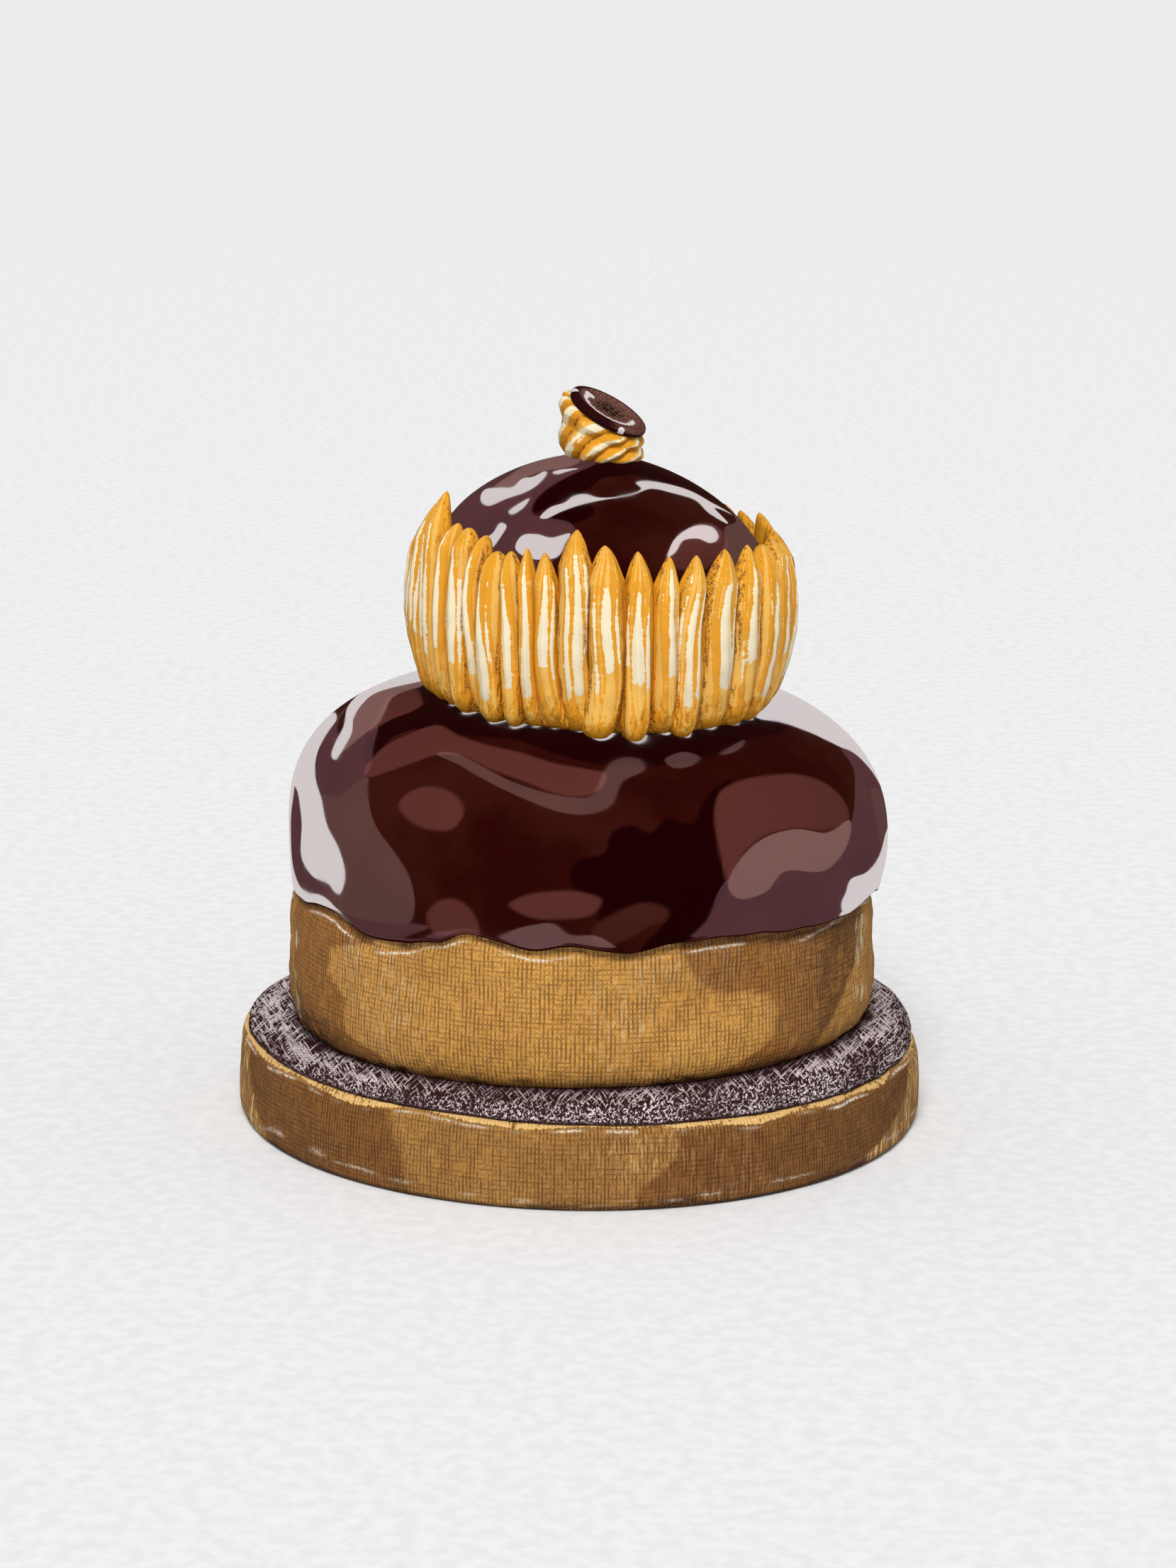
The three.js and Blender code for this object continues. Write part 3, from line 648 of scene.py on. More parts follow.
def crust_material(name, light, mid, thread, pale, threads_around):
    """Baked crust with the fine linen imprint of the strip of baking cloth that held its wall."""
    nodes = Nodes(name)
    x, y, z = nodes.parts(nodes.place)
    azimuth = nodes.math("ARCTAN2", x, nodes.times(y, -1.0))
    warp_jitter = nodes.times(nodes.noise(260, 3), 3.0)
    warp = nodes.math("SINE", nodes.plus(nodes.times(azimuth, threads_around), warp_jitter))
    weft_jitter = nodes.times(nodes.noise(170, 3), 4.0)
    weft = nodes.math("SINE", nodes.plus(nodes.times(z, TURN / (WEFT_PITCH * MM)), weft_jitter))
    upright = nodes.stretched((1.0, 1.0, 0.09))
    level = nodes.stretched((0.1, 0.1, 1.0))
    warp_strength = nodes.span(nodes.noise(1700, 4, 0.7, nodes.stretched((1.0, 1.0, 0.22))), 0.34, 0.62)
    weft_strength = nodes.span(nodes.noise(1700, 4, 0.7, nodes.stretched((0.22, 0.22, 1.0))), 0.36, 0.64)
    warp = nodes.times(nodes.span(warp, 0.0, 0.9), warp_strength)
    weft = nodes.times(nodes.span(weft, 0.1, 0.95), weft_strength)
    weave = nodes.larger(warp, nodes.times(weft, 0.7))
    grain = nodes.noise(3400, 3, 0.6)
    baked = nodes.span(nodes.noise(75, 4), 0.34, 0.66)
    streak = nodes.span(nodes.noise(3300, 2, 0.5, upright), 0.5, 0.64)
    dusty = nodes.times(streak, nodes.span(nodes.noise(70, 2), 0.52, 0.68))
    colour = nodes.mix(baked, light, mid)
    colour = nodes.mix(nodes.span(grain, 0.4, 0.66, 0.0, 0.5), colour, tuple(0.55 * value for value in mid))
    colour = nodes.mix(nodes.times(dusty, 0.38), colour, pale)
    colour = nodes.mix(nodes.times(weave, 0.74), colour, thread)
    # Painted shade on the sides, and browned patches at the back.
    colour = nodes.mix(nodes.field("shade_and_toast"), colour, SHADE_AND_TOAST_TINT, "MULTIPLY")
    # Pale along the edges that the pieces mark: painted highlights.
    ragged = nodes.span(nodes.noise(2300, 3, 0.6, upright), 0.3, 0.7, -0.45, 0.45)
    edged = nodes.span(nodes.plus(nodes.field("pale"), ragged), 0.48, 0.70, 0.0, 0.9)
    colour = nodes.mix(edged, colour, pale)
    # Pale lines: painted highlight lines, and the biscuit's scribbles near its foot.
    pale_lines = nodes.times(nodes.field("pale_lines"), nodes.span(grain, 0.38, 0.55))
    colour = nodes.mix(nodes.times(pale_lines, 0.95), colour, CRUST_PALE_LINES)
    # Painted shade, hatched: along the feet, on the choux's dark sides and under the glaze's lip.
    hatch = nodes.larger(nodes.noise(2400, 3, 0.6, level), nodes.noise(2400, 3, 0.6, upright))
    painted_shade = nodes.times(nodes.field("painted_shade"), nodes.span(hatch, 0.45, 0.56))
    colour = nodes.mix(painted_shade, colour, tuple(0.40 * value for value in thread))
    relief = nodes.minus(nodes.times(grain, 0.6), weave)
    nodes.set(Base_Color=colour, Roughness=nodes.span(grain, 0.3, 0.7, 0.55, 0.85))
    nodes.set(Normal=nodes.bump(relief, 0.00012), Specular_IOR_Level=0.35)
    nodes.set(Subsurface_Weight=0.06, Subsurface_Scale=0.0015, Subsurface_Radius=(1.0, 0.5, 0.2))
    return nodes.material


def spread_material():
    """Matt chocolate spread with crossed brush marks and a pale bloom on their crests, which painted sheen
    makes stronger on the left and right.
    """
    nodes = Nodes("spread_chocolate")
    marks = []
    paler = nodes.times(nodes.minus(nodes.field("painted_light_strength"), 0.7), 0.05)
    for turn in (math.radians(16), math.radians(-18)):
        place = nodes.stretched((1.0, 0.04, 1.0), turn)
        mark = nodes.plus(nodes.noise(4200, 2, 0.5, place), paler)
        marks.append(nodes.span(mark, 0.55, 0.60))
    crossed = nodes.larger(marks[0], marks[1])
    speck = nodes.span(nodes.noise(3600, 3, 0.6), 0.36, 0.52)
    bloom = nodes.times(crossed, nodes.span(speck, 0, 1, 0.30, 1.0))
    cloud = nodes.span(nodes.noise(70, 3), 0.35, 0.65, 0.6, 1.05)
    # Less bloom at the hem and under the choux, painted shade; more on the sides, painted sheen.
    bloom = nodes.times(nodes.times(bloom, cloud), nodes.span(nodes.field("hem"), 0, 1, 1.0, 0.15))
    bloom = nodes.times(bloom, nodes.span(nodes.field("painted_light_strength"), 0, 1.2, 0.3, 1.25))
    colour = nodes.mix(bloom, SPREAD_COLOURS["dark"], SPREAD_COLOURS["bloom"])
    nodes.set(Base_Color=colour, Roughness=nodes.span(crossed, 0, 1, 0.65, 0.45))
    nodes.set(Normal=nodes.bump(nodes.plus(crossed, speck), 0.00008), Specular_IOR_Level=0.35)
    return nodes.material


def cream_material():
    """Piped cream: yellow, with pale ragged streaks of painted highlight, deep orange ones of painted shade
    and brown specks of painted shade in the creases.
    """
    nodes = Nodes("piped_cream")
    teeth = nodes.noise(2500, 2, 0.5, nodes.stretched((0.35, 0.35, 1.0)))
    patches = nodes.noise(330, 3, 0.55, nodes.stretched((1.0, 1.0, 0.3)))
    lines = nodes.noise(2600, 3, 0.6, nodes.stretched((1.0, 1.0, 0.07)))
    specks = nodes.noise(5200, 2, 0.6)
    ragged = nodes.times(nodes.minus(teeth, 0.5), 0.20)
    drift = nodes.times(nodes.minus(patches, 0.5), 0.42)
    ragged = nodes.plus(ragged, drift)
    ragged = nodes.plus(ragged, nodes.times(nodes.minus(lines, 0.5), 0.24))
    deep = nodes.span(nodes.plus(nodes.field("deep"), ragged), -0.01, 0.02)
    pale = nodes.span(nodes.minus(nodes.field("pale"), ragged), -0.01, 0.02)
    lowered = nodes.plus(lines, nodes.times(nodes.field("crease_shade"), 0.15))
    grain = nodes.times(nodes.span(lowered, 0.57, 0.61), nodes.span(specks, 0.42, 0.54, 0.15, 0.9))
    crease_shade = nodes.times(nodes.span(nodes.field("crease_shade"), 0, 0.3), grain)
    colour = nodes.mix(deep, CREAM_COLOURS["plain"], CREAM_COLOURS["deep"])
    # Paler low down on the strokes: painted light.
    lift = nodes.span(nodes.parts(nodes.place)[2], 0.0605, 0.0530)
    colour = nodes.mix(lift, colour, CREAM_PALER_BELOW, "MULTIPLY")
    colour = nodes.mix(pale, colour, CREAM_COLOURS["pale"])
    colour = nodes.mix(crease_shade, colour, CREAM_COLOURS["crease_shade"])
    nodes.set(Base_Color=colour, Roughness=nodes.span(nodes.noise(900, 3), 0.3, 0.7, 0.40, 0.58))
    nodes.set(Normal=nodes.bump(lines, 0.00005), Specular_IOR_Level=0.35)
    nodes.set(Subsurface_Weight=0.04, Subsurface_Scale=0.0008, Subsurface_Radius=(1.0, 0.55, 0.2))
    return nodes.material


def button_material():
    """Glossy chocolate with a brown face, a pale ring of painted highlight on it and a dark grainy middle."""
    nodes = Nodes("button_chocolate")
    grain = nodes.noise(2600, 3, 0.6)
    brown = nodes.mix(nodes.span(grain, 0.4, 0.6), BUTTON_COLOURS["face"], BUTTON_COLOURS["grain"])
    colour = nodes.mix(nodes.field("dish"), BUTTON_COLOURS["rim"], brown)
    dark = nodes.times(nodes.field("spot"), nodes.span(grain, 0.40, 0.50))
    colour = nodes.mix(dark, colour, BUTTON_COLOURS["middle"])
    # Painted highlights: a pale ring on the face and pale spots.
    ragged = nodes.span(nodes.noise(2200, 3), 0.35, 0.65, -0.25, 0.25)
    ring = nodes.span(nodes.plus(nodes.field("ring"), ragged), 0.42, 0.52)
    colour = nodes.mix(ring, colour, BUTTON_COLOURS["ring"])
    nodes.set(Base_Color=colour, Roughness=nodes.span(nodes.field("dish"), 0, 1, 0.14, 0.42))
    nodes.set(Normal=nodes.bump(grain, 0.00003), IOR=GLAZE_IOR, Coat_Weight=0.15, Coat_Roughness=0.08)
    return nodes.material


# ---------------------------------------------------------------- profiles and outlines

def smooth_profile(corners, steps, azimuth):
    """Radius and height, each (rows, azimuths), of a smooth curve through corners of radius and height.

    A corner's values are numbers, or arrays that follow the azimuth. Each stretch of the curve between two
    corners gets as many rows as there are steps, and it doesn't swing out between uneven gaps.
    """
    around = np.zeros(len(azimuth))
    corners = [np.stack([around + radius, around + height]) for radius, height in corners]
    ends = [2 * corners[0] - corners[1]] + corners + [2 * corners[-1] - corners[-2]]
    gaps = [np.sqrt(np.hypot(*(after - before)) + 1e-9) for before, after in zip(ends, ends[1:])]
    share = (np.arange(steps) / steps)[:, None, None]
    rows = []
    for index in range(1, len(ends) - 2):
        before, start, end, after = ends[index - 1:index + 3]
        ahead, here, behind = gaps[index - 1:index + 2]
        leave = end - start + here * ((start - before) / ahead - (end - before) / (ahead + here))
        arrive = end - start + here * ((after - end) / behind - (after - start) / (here + behind))
        bend = (2 * (start - end) + leave + arrive) * share ** 3
        bend = bend + (3 * (end - start) - 2 * leave - arrive) * share ** 2 + leave * share + start
        rows.append(bend)
    rows = np.concatenate(rows + [corners[-1][None]])
    return rows[:, 0], rows[:, 1]


def rounded(outline, steps=6):
    """A closed smooth curve through an outline's points, as an array of (azimuth, elevation) rows."""
    curve = smooth_profile(outline[-2:] + outline + outline[:2], steps, [0])
    return np.concatenate(curve, axis=1)[2 * steps:(2 + len(outline)) * steps]


def depth_inside(edge, across, up):
    """How far places lie inside a closed edge, or outside it where the number is below zero."""
    nearest = np.full(across.shape, 1e9)
    inside = np.zeros(across.shape, dtype=bool)
    for (x1, y1), (x2, y2) in zip(edge, np.roll(edge, -1, axis=0)):
        along = ((across - x1) * (x2 - x1) + (up - y1) * (y2 - y1)) / ((x2 - x1) ** 2 + (y2 - y1) ** 2 + 1e-9)
        along = np.clip(along, 0, 1)
        nearest = np.minimum(nearest, np.hypot(across - lerp(x1, x2, along), up - lerp(y1, y2, along)))
        crossed = (up < y1) != (up < y2)
        inside ^= crossed & (across < x1 + (up - y1) * (x2 - x1) / (y2 - y1 if y2 != y1 else 1e-9))
    return np.where(inside, nearest, -nearest)


def within(outline, turn, rise, softness=0.35):
    """How far directions, in degrees, lie inside an outline, from 0 to 1 across its soft edge."""
    edge = rounded(outline)
    low, high = edge.min(0) - 1, edge.max(0) + 1
    close = (turn > low[0]) & (turn < high[0]) & (rise > low[1]) & (rise < high[1])
    share = np.zeros(turn.shape)
    share[close] = smoothstep(depth_inside(edge, turn[close], rise[close]), -softness, softness)
    return share


def painted_glaze_share(outlines, azimuth, elevation):
    """How far each point lies in the outlined places, which repeat on the far side."""
    turn = np.degrees(azimuth + 0 * elevation)
    rise = np.degrees(elevation + 0 * azimuth)
    share = np.zeros(turn.shape)
    for outline in outlines:
        for centre in (0, 180):
            share = np.maximum(share, within(outline, np.mod(turn - centre + 180, 360) - 180, rise))
    return share


# ---------------------------------------------------------------- pieces

def biscuit_base(material):
    azimuth = azimuths(640)
    top_radius = BASE["top_radius"]
    under_spread = SPREAD["seat_radius"] - 1
    rim = base_top(top_radius, azimuth)
    corners = [
        (1.0, 0.0),
        (BASE["foot"] - 3, 0.0),
        (BASE["foot"], 0.02),
        (BASE["radius"] - 0.3, 0.55),
        (BASE["radius"], 1.7),
        (BASE["radius"] - 0.05, 5.0),
        (top_radius + 0.35, rim - 1.5),
        (top_radius + 0.05, rim - 0.6),
        (top_radius - 0.45, rim - 0.08),
        (under_spread, base_top(under_spread, azimuth) - 0.1),
        (1.0, BASE["height"] - 0.3),
    ]
    radius, height = smooth_profile(corners, 9, azimuth)
    height = np.maximum(height, 0)
    rows = turned(radius, height, azimuth)
    side = smoothstep(radius, 38.5, 40.3) * smoothstep(height, 0.2, 1.4)
    uneven = 0.10 * ripple(rows, 11, 3) + 0.045 * ripple(rows, 2.6, 4)
    radius = np.minimum(radius + np.minimum(uneven * side - 0.12 * side, 0), BASE["radius"] - 0.01)
    rows = turned(radius, height, azimuth)

    # Painted shade on the left and right sides, the golden places beyond it, and browned patches at the back.
    shaded_sides, golden = crust_sides(azimuth, height, **BISCUIT_SIDES)
    behind = at_the_back(azimuth)
    shade_and_toast = shaded_sides * (1 - golden)
    shade_and_toast = shade_and_toast + 0.8 * behind * smoothstep(ripple(rows * [1, 1, 0.5], 34, 17), 0.2, 0.32)
    shade_and_toast = shade_and_toast * smoothstep(rim - 0.6 - height, -0.2, 0.2)
    # Painted shade along the foot.
    painted_shade = 0.65 * smoothstep(1.0 + 0.3 * ripple(rows, 5, 6) - height, -0.2, 0.8)

    # A paler top edge and golden sides: painted highlights.
    top_highlight_depth = 0.46 + 0.18 * ripple(rows, 12, 11)
    pale = smoothstep(height - rim + top_highlight_depth, -0.15, 0.15) + 0.42 * np.clip(golden, 0, 1) * (1 - behind)
    pale = pale * broken(rows, 4, 13, 0.92, 0.2)
    # A painted highlight line under the top edge, and pale scribbles near the foot.
    pale_lines = bell(height - rim + 0.35 + top_highlight_depth, 0.13) * broken(rows, 6, 5, 0.5, 0.8)
    low_line = 1.9 + 0.5 * ripple(rows, 25, 7)
    scribble = broken(rows * [1, 1, 6], 5, 12, -0.5, 1)
    pale_lines = pale_lines + 0.6 * bell(height - low_line, 0.35) * scribble
    fields = dict(shade_and_toast=shade_and_toast, painted_shade=painted_shade, pale=pale, pale_lines=pale_lines)
    make_turned_piece("biscuit_disc", rows, material, "biscuit_base", "biscuit", **fields)


def chocolate_spread(material):
    azimuth = azimuths(512)
    outer, foot = SPREAD["radius"], CHOUX["foot_radius"]
    under = base_top(SPREAD["seat_radius"], azimuth)
    over = spread_top(outer, azimuth)
    corners = [
        (1.0, BASE["height"] - 0.1),
        (SPREAD["seat_radius"] - 0.6, under - 0.1),
        (outer - 0.25, under + 0.05),
        (outer - 0.02, lerp(under, over, 0.16)),
        (outer - 0.35, lerp(under, over, 0.50)),
        (outer - 1.15, lerp(under, over, 0.80)),
        (outer - 2.3, lerp(under, over, 0.95)),
        (outer - 3.6, spread_top(outer - 3.6, azimuth)),
        (foot, spread_top(foot, azimuth)),
        (foot - 2, spread_top(foot - 2, azimuth)),
        (1.0, SPREAD["top"]),
    ]
    radius, height = smooth_profile(corners, 10, azimuth)
    rows = turned(radius, height, azimuth)
    edge = smoothstep(radius, 38.5, 40.0)
    top = smoothstep(height, under + 0.5, over - 0.1) * smoothstep(radius, 32.5, 34.5)
    radius = radius - edge * np.clip(0.12 + 0.11 * ripple(rows, 7, 8) + 0.05 * ripple(rows, 2, 9), 0, 1)
    height = height - top * broken(rows, 4.5, 10, 0.07, 0.06)

    # Less bloom on the spread's lower edge, and under the choux's belly as painted shade.
    hem = smoothstep(under + 0.5 - height, -0.1, 0.3) + 0.7 * smoothstep(-radius, -35.3, -34.4)
    # Painted sheen: the bloom is stronger on the left and right sides and in a ring near the outer edge, and
    # wavers at random.
    turn = centred(azimuth)
    sides = 1.1 * smoothstep(-turn, 20, 55) + 0.85 * smoothstep(turn, 20, 55)
    sheen_ring = bell(radius - 37.3 - 0.5 * ripple(rows, 16, 15), 1.1)
    painted_light_strength = 0.66 + sides * (0.19 + 1.45 * sheen_ring)
    painted_light_strength = painted_light_strength + 0.14 * ripple(rows * [1, 1, 0.1], 9, 14)
    fields = dict(hem=hem, painted_light_strength=np.clip(painted_light_strength, 0.3, 2.4))
    rows = turned(radius, height, azimuth)
    make_turned_piece("spread_layer", rows, material, "chocolate_spread", "spread_chocolate", **fields)


def large_choux(material):
    azimuth = azimuths(900)
    foot_radius, belly, shoulder = CHOUX["foot_radius"], CHOUX["belly_radius"], CHOUX["shoulder_radius"]
    foot = spread_top(foot_radius, azimuth)
    edge = glaze_edge(azimuth)
    corners = [
        (1.0, SPREAD["top"] - 0.05),
        (foot_radius - 1.5, foot - 0.05),
        (foot_radius + 0.2, foot + 0.05),
        (belly - 0.85, foot + 0.8),
        (belly - 0.2, foot + 2.2),
        (belly, foot + 4.2),
        (belly - 0.35, foot + 10.5),
        (belly - 0.5, edge - 1.6),
        (belly - 0.85, edge - 0.7),
        (shoulder, edge + 0.4),
        (shoulder - 1.2, edge + 2.0),
    ]
    radius, height = smooth_profile(corners, 10, azimuth)
    rows = turned(radius, height, azimuth)
    side = smoothstep(radius, 33.0, 34.6)
    uneven = 0.13 * ripple(rows, 14, 21) + 0.06 * ripple(rows, 4, 22) + 0.03 * ripple(rows, 1.6, 23)
    notch = 0.5 * bell(azimuth - math.radians(360 - 10.3), 0.03) * smoothstep(foot + 1.6 - height, 0, 1)
    radius = radius + side * np.minimum(uneven - 0.12, 0.02) - notch * side
    rows = turned(radius, height, azimuth)

    # Painted shade on the left and right sides, the golden places beyond it, and browned patches at the back.
    shaded_sides, golden = crust_sides(azimuth, height, **CHOUX_SIDES)
    behind = at_the_back(azimuth)
    shade_and_toast = shaded_sides * (1 - 0.7 * golden) * (1 - behind)
    shade_and_toast = shade_and_toast + 0.8 * behind * smoothstep(ripple(rows * [1, 1, 0.6], 30, 18), 0.2, 0.32)

    # Painted shade: a band along the foot, the lower left and the right side.
    low_edge = foot + 1.1 + 0.45 * ripple(rows, 9, 25)
    painted_shade = 0.95 * smoothstep(low_edge - height, -0.5, 0.5) * broken(rows, 3, 26, 0.75, 0.5, low=0.2)
    turn = centred(azimuth)
    low_left = smoothstep(foot + 7 - height, 0, 6) * smoothstep(-turn, 40, 62)
    right_side = smoothstep(turn, 42, 54) * (1 - np.clip(golden, 0, 1))
    painted_shade = np.maximum(painted_shade, (0.9 * low_left + 0.5 * right_side) * (1 - behind))
    # A painted highlight line just under the glaze's lip, with painted shade between it and the lip.
    line = edge - 1.15 + 0.25 * ripple(rows, 15, 27)
    under_lip = 0.6 * smoothstep(height, line + 0.1, line + 0.5) * broken(rows, 7, 28, 0.7, 0.5)
    pale_lines = bell(height - line, 0.13) * broken(rows, 8, 24, 0.45, 0.8)
    # Painted highlight strips near the left and right outlines.
    painted_light_strength = bell(turn + 73, 3) + bell(turn - 69, 3.5)
    pale = 0.85 * painted_light_strength * broken(rows, 5, 29, 0.5, 0.5, high=0.9) * smoothstep(edge - 1.5 - height, 0, 1)
    fields = dict(shade_and_toast=shade_and_toast, painted_shade=np.maximum(painted_shade, under_lip), pale=pale, pale_lines=pale_lines)
    make_turned_piece("choux_wall", rows, material, "large_choux", "choux_pastry", **fields)


def large_glaze(material):
    azimuth = azimuths(640)
    edge = glaze_edge(azimuth) - 0.06 * np.sin(23 * azimuth) - 0.05 * np.sin(37 * azimuth + 1)
    top_of_lip = edge + 0.55
    beside = dome_radius(azimuth, top_of_lip - DOME_MIDDLE)
    lip = [
        (1.0, 50.0),
        (25.0, 44.0),
        (beside - 2.6, edge + 4.0),
        (CHOUX["shoulder_radius"] - 0.4, edge + 0.8),
        (CHOUX["shoulder_radius"] + 0.15, edge + 0.12),
        (beside - 0.30, edge),
        (beside - 0.06, edge + 0.2),
        (beside, top_of_lip),
    ]
    lip_radius, lip_height = smooth_profile(lip, 6, azimuth)
    lowest = np.arctan2(top_of_lip - DOME_MIDDLE, beside)
    shoulder, from_shoulder, crown = math.radians(50), math.radians(40), 0.75
    share = np.linspace(0, 1, 140, endpoint=False)[1:]
    share = np.append(share, np.linspace(1, 1 + crown, 26, endpoint=False))[:, None]
    elevation = lowest + (shoulder - lowest) * share
    elevation = np.where(share > 1, shoulder + from_shoulder * (share - 1) / crown, elevation)
    rows = np.concatenate([turned(lip_radius, lip_height, azimuth), dome_point(azimuth, elevation)])

    elevation = np.concatenate([np.arctan2(lip_height - DOME_MIDDLE, lip_radius), elevation])
    # Painted shadow under the head: nearly black in a ring round the strokes' feet.
    from_head = np.hypot(rows[..., 0] - HEAD_AXIS_X, rows[..., 1]) + 0.5 * ripple(rows, 9, 33)
    from_head = from_head + 1.8 * smoothstep(np.sin(azimuth), 0.5, 0.8)
    thick = np.maximum(painted_glaze_share(DOME_PAINTED_DARK, azimuth, elevation), smoothstep(-from_head, -25.2, -24.6))
    faint = FAINT * painted_glaze_share(DOME_FAINT_PAINTED_RED, azimuth, elevation)
    painted_red_reflection = np.maximum(painted_glaze_share(DOME_PAINTED_RED, azimuth, elevation), faint)
    fields = dict(painted_red_reflection=painted_red_reflection, thick=thick)
    return make_turned_piece("glaze_dome", rows, material, "large_glaze", "chocolate_glaze", **fields)


def small_glaze(material):
    azimuth = azimuths(480)
    radius = CAP["radius"]
    foot = CAP["middle"] - CAP["skirt"]
    edge = [
        (1.0, 74.0),
        (radius - 3.0, 69.5),
        (radius - 1.4, foot),
        (radius - 0.5, foot - 0.1),
        (radius - 0.06, foot + 0.35),
    ]
    edge_rows = turned(*smooth_profile(edge, 5, azimuth), azimuth)
    edge_rows[..., 2] += CAP["slope"] * edge_rows[..., 0]
    edge_rows[..., 0] += HEAD_AXIS_X
    elevation = np.radians(np.linspace(0, 90, 110, endpoint=False))[:, None]
    rows = np.concatenate([edge_rows[:-1], cap_point(azimuth, elevation)])
    elevation = np.concatenate([np.full(len(edge_rows) - 1, -0.2)[:, None], elevation]) + 0 * azimuth
    # Painted reflections and painted shade on the cap.
    painted_red_reflection = painted_glaze_share(CAP_PAINTED_RED, azimuth, elevation)
    thick = painted_glaze_share(CAP_PAINTED_DARK, azimuth, elevation)
    fields = dict(painted_red_reflection=painted_red_reflection, thick=thick)
    return make_turned_piece("glaze_cap", rows, material, "small_glaze", "chocolate_glaze", **fields)


def stroke_places():
    """Every stroke's azimuths of belly, tip and foot, tip height, foot reach and width."""
    places = list(FRONT_STROKES)
    size = BACK_STROKES
    for index in range(size["count"]):
        shifts = [wobble(index + 1, stream) for stream in range(1, 6)]
        turn = lerp(size["start"], size["end"], (index + 0.5) / size["count"]) + shifts[0]
        tip_turn = turn + size["sway"] * shifts[1]
        foot_turn = turn + size["sway"] * shifts[3]
        tip = size["tip"] + size["tip_spread"] * shifts[2]
        places.append((turn, tip_turn, foot_turn, tip, size["reach"] * shifts[4], size["width"]))
    return places


def stroke_marks(index, level, angle, halves, bands):
    """How far each point of a stroke lies in a pale streak of painted highlight on a ridge, a deep orange one
    of painted shade beside the ridges, at its sides and low down, or in the creases' painted shade.
    """
    def streak(inside, number):
        """A pale streak of painted highlight along a ridge, which starts and ends at heights of its own."""
        start = lerp(0.17, 0.40 if number == 0 else 0.5, scatter(index, 31 + 2 * number))
        finish = lerp(0.80 if number == 0 else 0.66, 0.95, scatter(index, 32 + 2 * number))
        return np.minimum(inside, np.minimum((level - start) * 6, (finish - level) * 2.5))

    sway = 1 + 0.2 * np.sin(level * 9 + 6 * wobble(STROKES["first_seed"] + index, 24))
    widening = lerp(1.1, 0.4, smoothstep(level, 0.5, 0.95)) * sway
    pairs = list(zip(halves, bands))
    pale = [streak(half * widening - band, number) for number, (half, band) in enumerate(pairs)]
    pale = np.maximum.reduce(pale)
    # Deep orange beside the streaks, at the stroke's sides and low down: painted shade.
    beside = [0.10 - np.abs(band - np.maximum(half, 0) * widening - 0.09) for half, band in pairs]
    deep = np.maximum.reduce(beside + [np.abs(angle) - lerp(0.9, 1.1, scatter(index, 37)) + 0 * level])
    low = smoothstep(-level, -0.36, -0.14)
    deep = np.maximum(deep, lerp(-0.6, 0.02, low) + 0.2 * smoothstep(-level, -0.06, -0.02))
    # Painted shade in the creases, as strong as each stroke's own share, and a little everywhere low down.
    painted_light_strength = np.where(angle < 0, lerp(0.3, 1, scatter(index, 38)), lerp(0, 0.8, scatter(index, 39)))
    painted_light_strength = painted_light_strength * (0.7 + 0.3 * np.sin(level * 7 + index))
    crease_shade = smoothstep(np.abs(angle), 0.76, 0.98) * np.clip(painted_light_strength + 0.3 * low, 0, 1)
    crease_shade = np.maximum(crease_shade, 0.16 * low)
    return pale, deep, crease_shade


